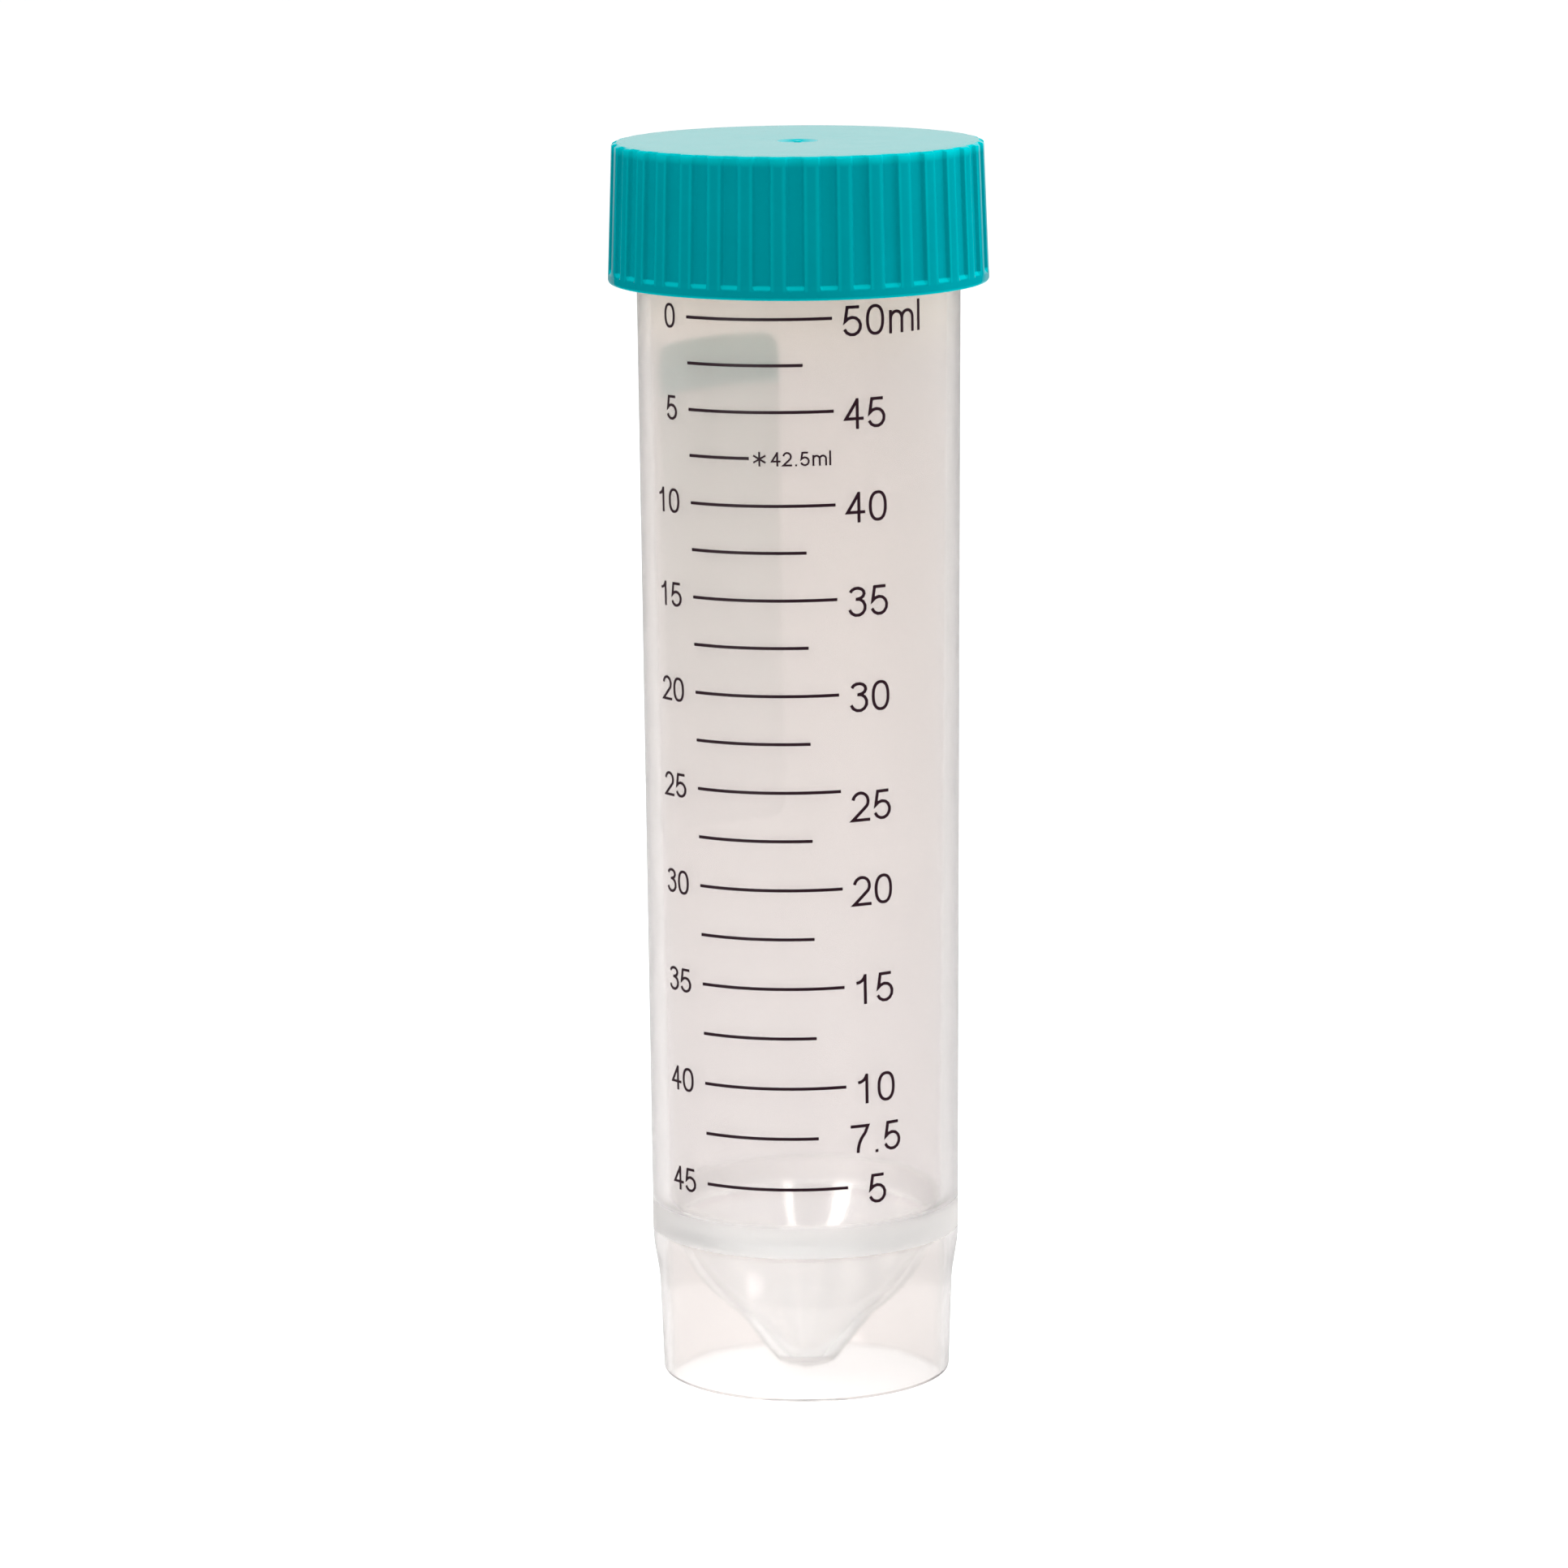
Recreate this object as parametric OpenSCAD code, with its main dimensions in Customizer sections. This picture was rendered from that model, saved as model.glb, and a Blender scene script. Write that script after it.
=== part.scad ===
// 50 ml conical tube that stands on its own skirt, with a ribbed screw cap.
// Frame: origin at the centre of the skirt's foot, +Z up the tube's axis, and the
// printed scale facing -Y. Lengths are in millimetres and volumes in millilitres.

/* [Tube] */
// Height of the tube's rim above the foot
tube_h = 114; // [108:1:130]
// Outside diameter at the rim
rim_d = 29.82; // [29:0.02:31]
// Outside diameter of the body just above the shoulder
body_d = 28.64; // [28:0.02:29.6]
// Thickness of the wall at the rim
rim_wall = 0.92; // [0.8:0.02:1.3]
// Thickness of the wall where the bore meets the cone
root_wall = 1.5; // [1.2:0.02:1.8]
// Height at which the bore ends and the cone starts
cone_top = 16.1; // [15.5:0.1:20]
// Angle between the cone's wall and the tube's axis, in degrees
cone_angle = 38.7; // [38:0.1:44]
// Thickness of the cone's wall
cone_wall = 1.3; // [1:0.05:1.5]
// Radius of the blunt point inside the cone
point_r = 1.8; // [1.4:0.1:2.6]
// Rounding of the cone's point outside
point_round = 1.6; // [0.8:0.1:2]
// Radius of the moulding gate's spot under the point
gate_r = 0.8; // [0.4:0.1:1.2]
// Height of the moulding gate's spot
gate_h = 0.3; // [0.1:0.05:0.5]
// Rounding of the foot and the rim
edge_r = 0.3; // [0.1:0.05:0.4]

/* [Skirt] */
// How far the foot of the skirt stands in from the body
foot_inset = 0.92; // [0.4:0.02:1.4]
// How far the top of the skirt stands in from the body
skirt_inset = 0.62; // [0.2:0.02:1]
// Thickness of the skirt
skirt_wall = 1.1; // [0.8:0.05:1.4]
// Height at which the skirt starts to swell out to the body
shoulder_low = 8; // [4:0.5:9]
// Height at which the shoulder has reached the body
shoulder_high = 13.5; // [12:0.5:15]

/* [Neck thread] */
// Rise of the thread in one turn
thread_pitch = 3.6; // [2.8:0.1:4]
// Number of turns
thread_turns = 1.5; // [1:0.25:2]
// How far the thread stands out from the neck
thread_depth = 0.7; // [0.4:0.05:1]
// Width of the thread at its crest
thread_crest = 0.8; // [0.5:0.05:1.2]
// Width of the thread where it meets the neck
thread_root = 1.7; // [1.3:0.05:2.2]
// Distance from the rim down to the middle of the thread's upper end
thread_drop = 3.2; // [2:0.1:4]

/* [Cap] */
// Height of the cap
cap_h = 12.8; // [12:0.1:16]
// Thickness of the cap's wall at its hem
hem_wall = 1.66; // [1.4:0.02:2.4]
// Thickness of the cap's wall at its top, through a rib
top_wall = 1.2; // [1:0.02:1.8]
// Thickness of the cap's top plate
plate = 1.3; // [0.9:0.05:1.8]
// Height of the plain band below the grooves
hem_h = 0.85; // [0.5:0.05:2]
// Rounding of the cap's top edge
cap_edge_r = 0.6; // [0.4:0.05:0.8]
// Number of grip ribs
rib_count = 36; // [24:1:40]
// Width of one grip rib
rib_w = 1.55; // [1:0.05:1.7]
// Angle from the front to the middle of the nearest grip rib, in degrees
rib_turn = 4; // [0:0.5:9]
// Depth of the grooves between the ribs
groove_depth = 0.36; // [0.2:0.02:0.5]
// Radius of the shallow dish round the cap's moulding gate
dish_r = 1.9; // [1:0.1:3]
// Depth of that dish
dish_depth = 0.3; // [0.1:0.05:0.5]
// Radius of the gate's nub in the dish
nub_r = 0.35; // [0.2:0.05:0.6]

/* [Seal and clearances] */
// Length of the seal ring that plugs the bore
seal_h = 3.2; // [2:0.1:5]
// Thickness of the seal ring
seal_wall = 0.9; // [0.6:0.05:1.2]
// Gap between the seal ring and the bore
seal_gap = 0.12; // [0.05:0.01:0.3]
// Gap between the tube's rim and the cap's top plate
rim_gap = 0.1; // [0.05:0.01:0.3]
// Gap between the neck thread's crest and the cap
thread_gap = 0.23; // [0.15:0.01:0.4]

/* [Printed scale] */
// Largest volume the scale may show
scale_full = 50; // [40:5:50]
// Volume between two graduations
scale_step = 2.5; // [2.5:2.5:5]
// Volume of the lowest graduation
scale_low = 5; // [5:5:10]
// Volume of the short fill limit line
limit_volume = 42.5; // [32.5:5:42.5]
// Thickness of the ink
ink = 0.05; // [0.03:0.01:0.1]
// Width of a printed line
line_w = 0.28; // [0.2:0.01:0.4]
// Length of the main graduations, round the wall
long_line = 13.95; // [12:0.05:16]
// Length of the graduations between them
short_line = 11.25; // [8:0.05:13]
// Length of the fill limit line
limit_line = 6.2; // [4:0.1:8]
// Distance from the front of the tube to the left end of the top line
scale_reach = 11; // [8:0.1:14]
// Tilt of the print, which climbs to the right, in degrees
print_tilt = 0.79; // [0:0.01:1.5]
// Height of the main figures
figure_h = 2.78; // [2:0.02:3.2]
// Width of a figure's stroke
figure_stroke = 0.28; // [0.2:0.01:0.36]
// Distance from the main lines' right end to the middle of the figures
figure_gap = 2.95; // [2.6:0.05:5]
// How far the figures sit below their lines
figure_drop = 0.35; // [0:0.05:0.8]
// Further drop of the figure at half volume
half_drop = 1.2; // [0:0.1:1.6]
// Height of the count-down figures left of the lines
count_h = 2.25; // [1.6:0.05:2.6]
// Gap between the count-down figures and the lines
count_gap = 1.35; // [0.8:0.05:2]
// Height of the small figures beside the fill limit line
limit_h = 1.3; // [1:0.05:1.8]

/* [Writing patch] */
// Angle from the front round to the patch's middle, in degrees
patch_turn = 221; // [200:1:240]
// Width of the patch, round the wall
patch_w = 17; // [12:0.5:22]
// Distance from the cap's hem down to the patch
patch_drop = 7.1; // [3:0.1:20]
// Height of the patch
patch_h = 46; // [30:1:60]
// Height of the solid band at the patch's head
band_h = 4.7; // [3:0.1:8]
// Rounding of the patch's corners
patch_corner = 1.5; // [0.5:0.1:2.5]

/* [Hidden] */
$fn = 96;
weld = 0.2;      // how deep a joined piece reaches into its carrier
over = 1;        // how far a cutter reaches past a face
foot_clear = 0.35; // height kept free under the gate's spot
swell_steps = 8; // flats that make up the shoulder's curve

// Radius of the body's outside at height z, on its taper
function neck_r(z) = (body_d + (rim_d - body_d) * (z - shoulder_high) / (tube_h - shoulder_high)) / 2;

// Bore, a taper between the cone and the rim
bore_root_r = neck_r(cone_top) - root_wall;
bore_slope = (neck_r(tube_h) - rim_wall - bore_root_r) / (tube_h - cone_top);
function bore_r(z) = bore_root_r + bore_slope * (z - cone_top);

// Cone inside and out
cone_slope = tan(cone_angle);
point_z = cone_top - (bore_root_r - point_r) / cone_slope;
point_base = max(point_z - cone_wall, gate_h + foot_clear);
function cone_r(z) = point_r + (z - point_z) * cone_slope + cone_wall / cos(cone_angle);

// Skirt, on its own taper, and the shoulder: a smooth swell from the skirt to the body
foot_r = body_d / 2 - foot_inset;
skirt_slope = (foot_inset - skirt_inset) / shoulder_low;
function skirt_r(z) = foot_r + skirt_slope * z;
function swell(t) = t * t * (3 - 2 * t);
function shoulder_r(t) = let (z = shoulder_low + (shoulder_high - shoulder_low) * t)
    skirt_r(shoulder_low) * (1 - swell(t)) + neck_r(z) * swell(t);
// Height where the cone's outside meets the skirt's inside
join_z = (foot_r - skirt_wall - cone_r(0)) / (cone_slope - skirt_slope);

// Cap, seated on the rim
thread_top = tube_h - thread_drop;
cap_bottom = tube_h + rim_gap + plate - cap_h;
cap_top = cap_bottom + cap_h;
cap_bore_r = neck_r(thread_top) + thread_depth + thread_gap;
function cap_r(z) = cap_bore_r + hem_wall + (top_wall - hem_wall) * (z - cap_bottom) / cap_h;
ledge_h = groove_depth * 1.3; // height of the slope that closes a groove's foot
seal_low = tube_h + rim_gap - seal_h;
seal_r = bore_r(seal_low) - seal_gap;

// Level that a volume reaches: the height at which cone and bore hold that much
cone_volume = PI / 3 * (cone_top - point_z)
    * (bore_root_r * bore_root_r + bore_root_r * point_r + point_r * point_r);
function level_r(v) = pow(pow(bore_root_r, 3) + 3 * bore_slope * (v * 1000 - cone_volume) / PI, 1 / 3);
function level_z(v) = cone_top + (level_r(v) - bore_root_r) / bore_slope;

// Points of an arc about c from angle a to angle b, as n steps
function arc(c, rx, ry, a, b, n = 8) =
    [for (i = [0:n]) c + [rx * cos(a + (b - a) * i / n), ry * sin(a + (b - a) * i / n)]];

// ---------------------------------------------------------------- tube

// Half section: under the cone, the skirt, shoulder, body and rim, then bore and cone
module tube_section() {
    inner_foot_r = foot_r - skirt_wall;
    round_z = point_base + point_round;
    rim_low = tube_h - edge_r; // where the tapers end and the rim's rounding starts
    polygon(concat(
        [[0, point_base]],
        arc([cone_r(round_z) - point_round / cos(cone_angle), round_z],
            point_round, point_round, -90, -cone_angle, 4),
        [[inner_foot_r + skirt_slope * join_z, join_z], [inner_foot_r, edge_r]],
        [[inner_foot_r + edge_r, 0], [foot_r - edge_r, 0]],
        arc([foot_r - edge_r, edge_r], edge_r, edge_r, -60, 0, 2),
        [for (i = [0:swell_steps]) let (t = i / swell_steps)
            [shoulder_r(t), shoulder_low + (shoulder_high - shoulder_low) * t]],
        arc([neck_r(rim_low) - edge_r, rim_low], edge_r, edge_r, 0, 90, 3),
        arc([bore_r(rim_low) + edge_r, rim_low], edge_r, edge_r, 90, 180, 3),
        [[bore_root_r, cone_top], [point_r, point_z], [0, point_z]]
    ));
}

// Trapezoid thread that climbs round the neck, with ends that run out into it
module neck_thread() {
    step = 10;     // degrees from one section to the next
    run_out = 4;   // sections over which an end grows to full depth
    last = round(thread_turns * 360 / step);
    function grow(i) = max(0.02, min(1, i / run_out, (last - i) / run_out));
    function section(i) = let (
        z = thread_top + thread_pitch * (i - last) * step / 360,
        root = neck_r(z) - weld,
        crest = neck_r(z) + thread_depth * grow(i))
        [for (p = [[root, -thread_root], [crest, -thread_crest],
                   [crest, thread_crest], [root, thread_root]])
            [p[0] * cos(i * step), p[0] * sin(i * step), z + p[1] / 2]];
    polyhedron(
        points = [for (i = [0:last]) each section(i)],
        faces = concat(
            [[3, 2, 1, 0]],
            [for (i = [0:last - 1], k = [0:3])
                [i * 4 + k, i * 4 + (k + 1) % 4, i * 4 + 4 + (k + 1) % 4, i * 4 + 4 + k]],
            [[for (k = [0:3]) last * 4 + k]])
    );
}

module tube() {
    color([0.88, 0.85, 0.82, 0.6]) {
        rotate_extrude() tube_section();
        neck_thread();
        translate([0, 0, point_base - gate_h]) cylinder(r = gate_r, h = gate_h + weld);
    }
}

// ---------------------------------------------------------------- cap

// Half section out to the ribs' faces, less a depth, with a rounded top edge
module cap_half(depth) {
    top_r = cap_r(cap_top) - depth;
    polygon(concat(
        [[0, cap_bottom], [cap_r(cap_bottom) - depth, cap_bottom]],
        arc([top_r - cap_edge_r, cap_top - cap_edge_r], cap_edge_r, cap_edge_r, 0, 90, 5),
        [[0, cap_top]]
    ));
}

// Radial slabs that leave one rib each
module rib_slabs() {
    for (i = [0:rib_count - 1])
        rotate([0, 0, rib_turn - 90 + i * 360 / rib_count])
            translate([cap_bore_r, -rib_w / 2, cap_bottom + hem_h])
                cube([hem_wall + over, rib_w, cap_h]);
}

// Plain band at the cap's foot, with the slope that closes each groove
module hem() {
    top = cap_bottom + hem_h;
    rotate_extrude() polygon([
        [0, cap_bottom],
        [cap_r(cap_bottom) - edge_r, cap_bottom],
        [cap_r(cap_bottom + edge_r), cap_bottom + edge_r],
        [cap_r(top), top],
        [cap_r(top + ledge_h) - groove_depth, top + ledge_h],
        [0, top + ledge_h]
    ]);
}

// Ring that plugs the bore: a straight wall with a lead-in chamfer at its foot
module seal_ring() {
    lead = seal_wall / 2;
    root = cap_top - plate + weld;
    rotate_extrude() polygon([
        [seal_r - seal_wall, seal_low], [seal_r - lead, seal_low], [seal_r, seal_low + lead],
        [seal_r, root], [seal_r - seal_wall, root]
    ]);
}

module cap() {
    floor_r = dish_r / 2; // flat floor of the dish, inside its sloping side
    color([0.0, 0.62, 0.64]) {
        difference() {
            union() {
                intersection() {
                    rotate_extrude() cap_half(groove_depth);
                    translate([0, 0, cap_bottom + hem_h]) cylinder(r = cap_bore_r + hem_wall, h = cap_h);
                }
                intersection() {
                    rotate_extrude() cap_half(0);
                    rib_slabs();
                }
                hem();
            }
            translate([0, 0, cap_bottom - over]) cylinder(r = cap_bore_r, h = cap_h - plate + over);
            translate([0, 0, cap_top - dish_depth]) cylinder(r1 = floor_r, r2 = dish_r, h = dish_depth);
        }
        translate([0, 0, cap_top - dish_depth - weld]) cylinder(r = nub_r, h = weld + dish_depth * 0.7);
        seal_ring();
    }
}

// ---------------------------------------------------------------- print

// Skin of ink on the body's taper between two heights
module ink_film(low, high) {
    rotate_extrude() polygon([
        [neck_r(low), low], [neck_r(low) + ink, low],
        [neck_r(high) + ink, high], [neck_r(high), high]
    ]);
}

// The print is laid out flat at the body's mean radius, then turned round the tube:
// a distance s along it becomes an angle, and a flat width becomes a chord
print_r = (rim_d + body_d) / 4;
function angle(s) = s / print_r * 180 / PI;
function chord(s, z) = 2 * neck_r(z) * sin(angle(s) / 2);

// Carries flat artwork outwards through the wall at distance s and height z
module on_wall(s, z, tilt = print_tilt) {
    rotate([0, 0, angle(s)])
        translate([0, 0, z])
            rotate([90, 0, 0])
                linear_extrude(height = rim_d / 2 + over)
                    rotate(tilt) children();
}

// Graduations that lie clear of the cap, the main ones among them, and the highest
function is_main(v) = v % 5 == 0;
volumes = [for (v = [scale_low:scale_step:scale_full]) if (level_z(v) + figure_h / 2 < cap_bottom) v];
main_volumes = [for (v = volumes) if (is_main(v)) v];
top_volume = max(main_volumes);
low_volume = min(main_volumes);
half_volume = scale_full / 2;
second_volume = 7.5; // the one graduation between main ones that has a figure

// The lines start further to the right lower down, as the whole print leans with its tilt
function line_start(z) = (level_z(top_volume) - z) * tan(print_tilt) - scale_reach;
function line_length(v) = v == limit_volume ? limit_line : is_main(v) ? long_line : short_line;

module scale_lines() {
    color([0.16, 0.1, 0.13])
        intersection() {
            union() for (v = volumes) {
                z = level_z(v);
                on_wall(line_start(z) + line_length(v) / 2, z)
                    square([chord(line_length(v), z), line_w], center = true);
            }
            ink_film(level_z(low_volume) - figure_h, level_z(top_volume) + figure_h);
        }
}

// One pen stroke of width w along path p, cut square at its ends and mitred at its corners
module stroke(p, w) {
    n = len(p) - 1;
    function unit(v) = v / norm(v);
    function left_of(v) = [-v[1], v[0]];
    function ahead(i) = left_of(unit(p[min(i + 1, n)] - p[min(i, n - 1)]));
    function behind(i) = left_of(unit(p[max(i, 1)] - p[max(i - 1, 0)]));
    function side(i) = let (m = unit(ahead(i) + behind(i))) m / (m * ahead(i));
    polygon(concat(
        [for (i = [0:n]) p[i] + side(i) * w / 2],
        [for (i = [n:-1:0]) p[i] - side(i) * w / 2]
    ));
}

// Closed oval of half width a and half height b, fuller at its shoulders than an ellipse
module oval(a, b) {
    n = 28;
    fullness = 0.86;
    function full(x) = sign(x) * pow(abs(x), fullness);
    polygon([for (i = [0:n - 1]) [a * full(cos(i * 360 / n)), b * full(sin(i * 360 / n))]]);
}

// Sans-serif figure of height h, drawn with a pen of width w and centred on the origin
module figure(c, h, w) {
    u = (h - w) / 2;    // half height along the pen's path
    b = u * 0.62;       // half width along the pen's path
    bowl = u * 0.6;     // half height of the lower bowl of a 3 or a 5
    eye = u - bowl;     // half height of the upper bowl of a 3
    if (c == "0") difference() {
        oval(b + w / 2, u + w / 2);
        oval(b - w / 2, u - w / 2);
    }
    if (c == "1") {
        stroke([[b * 0.2, -h / 2], [b * 0.2, h / 2]], w);
        stroke(arc([-b * 0.9, u * 1.15], b * 1.1, u * 0.65, -90, -15, 4), w);
    }
    if (c == "2")
        stroke(concat(arc([0, u - b], b * 0.96, b, 170, -35, 10), [[-b, -u], [b + w / 2, -u]]), w);
    if (c == "3") {
        stroke(arc([0, u - eye], b * 0.88, eye, 165, -90, 9), w);
        stroke(arc([0, bowl - u], b, bowl, 100, -165, 9), w);
    }
    if (c == "4") {
        stroke([[b * 0.4, -h / 2], [b * 0.4, h / 2]], w);
        stroke([[b * 0.4, u], [-b, -u * 0.36], [b + w / 2, -u * 0.36]], w);
    }
    if (c == "5")
        stroke(concat([[b * 0.85, u], [-b * 0.62, u], [-b * 0.88, 0]],
            arc([-b * 0.02, bowl * 1.05 - u], b * 1.02, bowl * 1.05, 120, -160, 10)), w);
    if (c == "7")
        stroke(concat([[-b - w / 2, u], [b, u]], arc([b * 2.3, -u], b * 2.6, u * 1.9, 130, 180, 5)), w);
    if (c == ".") translate([0, (w - h) / 2]) square(w, center = true);
    if (c == "m") {
        arch = b * 0.82;                // half the width of one arch
        spring = h * 0.26 - arch - w / 2; // height where the arches start
        for (k = [-1, 1])
            stroke(concat([[(k + 1) * arch, -h / 2]],
                arc([k * arch, spring], arch, arch, 0, 180, 8), [[(k - 1) * arch, -h / 2]]), w);
        stroke([[-2 * arch, -h / 2], [-2 * arch, h * 0.26]], w);
    }
    if (c == "l") stroke([[0, -h / 2], [0, h / 2 + w / 4]], w);
    if (c == "*") for (turn = [0, 60, 120]) rotate(turn) square([w, h], center = true);
}

// Room a character takes along the line, as a share of the figures' height
function advance(c) = c == "." ? 0.42 : c == "m" ? 1.25 : c == "l" ? 0.2 : c == "*" ? 1.5 : 0.79;
function advances(word, n) = n == 0 ? 0 : advances(word, n - 1) + advance(word[n - 1]);
function word_w(word, h) = advances(word, len(word)) * h;

// A word whose left end is at s, each character square to the wall where it stands
module word_on_wall(word, s, z, h, w) {
    for (i = [0:len(word) - 1]) {
        ds = (advances(word, i) + advance(word[i]) / 2) * h;
        on_wall(s + ds, z + ds * tan(print_tilt)) figure(word[i], h, w);
    }
}

// Figure beside a main line, centred on the figures' column; the unit follows the top one
module volume_figure(v) {
    rise = (long_line + figure_gap) * tan(print_tilt) / 2;
    z = level_z(v) + rise - figure_drop - (v == half_volume ? half_drop : 0);
    word = str(v);
    s = line_start(z) + long_line + figure_gap - word_w(word, figure_h) / 2;
    word_on_wall(v == top_volume ? str(word, "ml") : word, s, z, figure_h, figure_stroke);
}

// Count-down figure left of a main line: the volume still free above that line
module count_figure(v) {
    word = str(top_volume - v);
    reach = count_gap + word_w(word, count_h);
    z = level_z(v) - (long_line / 2 + reach) * tan(print_tilt);
    word_on_wall(word, line_start(z) - reach, z, count_h, figure_stroke * 0.85);
}

// Frost sign and volume after the fill limit line
module limit_figure() {
    z = level_z(limit_volume);
    word_on_wall(str("*", limit_volume, "ml"), line_start(z) + limit_line, z, limit_h, figure_stroke * 0.6);
}

module scale_figures() {
    color([0.16, 0.1, 0.13])
        intersection() {
            union() {
                for (v = main_volumes) {
                    volume_figure(v);
                    count_figure(v);
                }
                if (len(search(second_volume, volumes)) > 0) volume_figure(second_volume);
                if (len(search(limit_volume, volumes)) > 0) limit_figure();
            }
            ink_film(level_z(low_volume) - figure_h, level_z(top_volume) + figure_h);
        }
}

// The part of the rounded panel between two distances below its top, on the back of the wall
module patch(from, to) {
    top = cap_bottom - patch_drop;
    z = top - patch_h / 2;
    x = chord(patch_w, z) / 2 - patch_corner;
    y = patch_h / 2 - patch_corner;
    corners = [[x, y], [-x, y], [-x, -y], [x, -y]];
    intersection() {
        on_wall(patch_turn / 180 * PI * print_r, z, 0)
            polygon([for (i = [0:3]) each
                arc(corners[i], patch_corner, patch_corner, i * 90, i * 90 + 90, 6)]);
        ink_film(top - to, top - from);
    }
}

module patch_band() {
    color([0.62, 0.7, 0.7]) patch(0, band_h);
}

module writing_patch() {
    color([0.78, 0.8, 0.78]) patch(band_h, patch_h);
}

tube();
cap();
scale_lines();
scale_figures();
patch_band();
writing_patch();
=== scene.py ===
"""Finish, light and camera for a self-standing 50 ml conical tube with a ribbed screw cap.

Units are metres. +Z is up the tube's axis and the printed scale faces -Y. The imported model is
the fixed frame: every piece made here stands on it, and none moves or resizes it.
"""

import math

import bpy
from bpy.props import FloatProperty, FloatVectorProperty, IntProperty, PointerProperty
from mathutils import Matrix, Quaternion, Vector


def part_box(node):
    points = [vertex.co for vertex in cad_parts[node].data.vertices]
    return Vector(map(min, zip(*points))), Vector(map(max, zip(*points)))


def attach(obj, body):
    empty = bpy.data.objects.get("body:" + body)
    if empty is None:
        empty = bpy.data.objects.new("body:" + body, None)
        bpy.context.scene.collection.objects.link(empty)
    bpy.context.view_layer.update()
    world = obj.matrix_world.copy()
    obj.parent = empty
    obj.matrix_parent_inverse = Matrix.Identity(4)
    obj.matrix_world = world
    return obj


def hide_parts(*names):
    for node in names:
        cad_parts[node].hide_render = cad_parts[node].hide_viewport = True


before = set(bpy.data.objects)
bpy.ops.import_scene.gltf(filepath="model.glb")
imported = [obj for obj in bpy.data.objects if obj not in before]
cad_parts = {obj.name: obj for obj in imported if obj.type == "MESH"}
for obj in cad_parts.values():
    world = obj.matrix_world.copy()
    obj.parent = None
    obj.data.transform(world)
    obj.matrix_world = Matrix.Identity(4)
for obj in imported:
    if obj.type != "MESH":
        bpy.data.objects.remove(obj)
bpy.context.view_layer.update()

bl_info = {
    "name": "Conical tube",
    "version": (1, 0, 0),
    "blender": (4, 5, 0),
    "location": "3D View > Sidebar > Conical tube",
    "description": "Moulds, prints and lights a 50 ml conical tube around its packed model",
    "category": "Object",
}

MM = 0.001
UM = 0.000001
RIM_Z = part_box("tube")[1].z
CAP_BOTTOM, CAP_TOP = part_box("cap")[0].z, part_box("cap")[1].z

# How finely the pieces are meshed
CREASE = math.radians(32)
SWELL_STEPS = 20
THREAD_COLUMNS = 120
THREAD_RUN_OUT = 14
PANEL_ROWS = 12
PANEL_COLUMNS = 40
PANEL_CORNER_STEPS = 8

# Small roundings of the moulds
GATE_ROUND = 0.1 * MM
THREAD_ROUND = 0.12 * MM
NUB_ROUND = 0.06 * MM
DISH_ROUND = 0.2 * MM
LEDGE_ROUND = 0.16 * MM
HEM_ROUND = 0.1 * MM
LIP_ROUND = 0.3 * MM
INSIDE_ROUND = 0.4 * MM
SEAL_ROOT_ROUND = 0.25 * MM
SEAL_SIDE_ROUND = 0.2 * MM
SEAL_TIP_ROUND = 0.15 * MM

# Proportions of small forms
INNER_FOOT_ROUND = 0.9  # rounding inside the skirt's foot, over the one outside
LEDGE_RISE = 1.3  # height of a groove's sloping end, over the groove's depth
NUB_RISE = 0.8  # height of the gate's nub, over the dish's depth
DISH_BLEND = 1.5  # rounding of the dish's rim, over its radius
PLATE_INNER, PLATE_OUTER = 0.55, 0.9  # ends of the top's flat, over its radius
RIB_INNER = 0.92  # where the ribs may start, over the top's radius
RIB_ROUND = 0.8  # height in which a rib's top rounds off, over the top rounding
RIB_SLANT = 0.1 * MM  # how far a rib's flank leans
FILM_GAP = 0.1  # from the wall to a film's back, over the ink's thickness
CAP_THREAD_START = math.radians(60)

# Heights from the cone's top where the tube's finish changes
MOUTH_START, MOUTH_FULL, MOUTH_FADE, MOUTH_END = -1.5 * MM, -1.25 * MM, 0.2 * MM, 0.95 * MM
RING_FADE, RING_END = -0.4 * MM, 1.2 * MM
FOOT_FADE, FOOT_END = -3.2 * MM, -1.5 * MM
CONE_END = 0.4 * MM
RING_ONSET = 0.2 * MM  # below the join of cone and skirt
# The painted light under the cap fades in from this far below the rim
NECK_BLEND = 20 * MM  # below the rim
BORE_NEAR, BORE_FAR = 0.1 * MM, 0.3 * MM  # outwards from the bore
SKIRT_NEAR = 0.4 * MM  # inwards from the skirt
FACE_BLEND = 0.3  # on each side of the cone wall's middle, over half its thickness

# Where the cap's finish changes, from the edge that each is named for
TOP_START, TOP_FULL = -0.03 * MM, -0.01 * MM
# The lip, the ribs' corners and the grooves' ledges carry painted highlights over these spans
LIP_LIGHT = 0.35 * MM
CORNER_LIGHT = 0.32 * MM
CORNER_PLACE = 0.42  # from a rib's middle, over its width
FLANK_LOW, FLANK_HIGH = 0.2, 0.8  # up a rib's flank, over the groove's depth
LEDGE_FULL, LEDGE_FADE, LEDGE_END = 0.2 * MM, -0.12 * MM, 0.06 * MM
SHINE_FACING = (0.74, 0.84)

# How patterns vary a colour or a roughness
CLOUD_STRETCH = (1, 1, 0.35)
SPECKLE = 0.15
CAP_SPECKLE = (0.9, 1.1)
# Painted light: the grooves are tinted this much lighter than the ribs, to lift the shade in them
GROOVE_PAINTED_LIGHT = 1.06
INK_THICK, INK_THIN = 0.93, 1.1
FROST_THIN = 0.2

# Refraction and gloss
PLASTIC_IOR = 1.49
COAT_IOR = 1.8
FROST_IOR = 1.12
FILM_GLOSS = 0.06
FLOOR_ROUGHNESS = 0.9
FLOOR_GLOSS = 0.1

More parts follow.
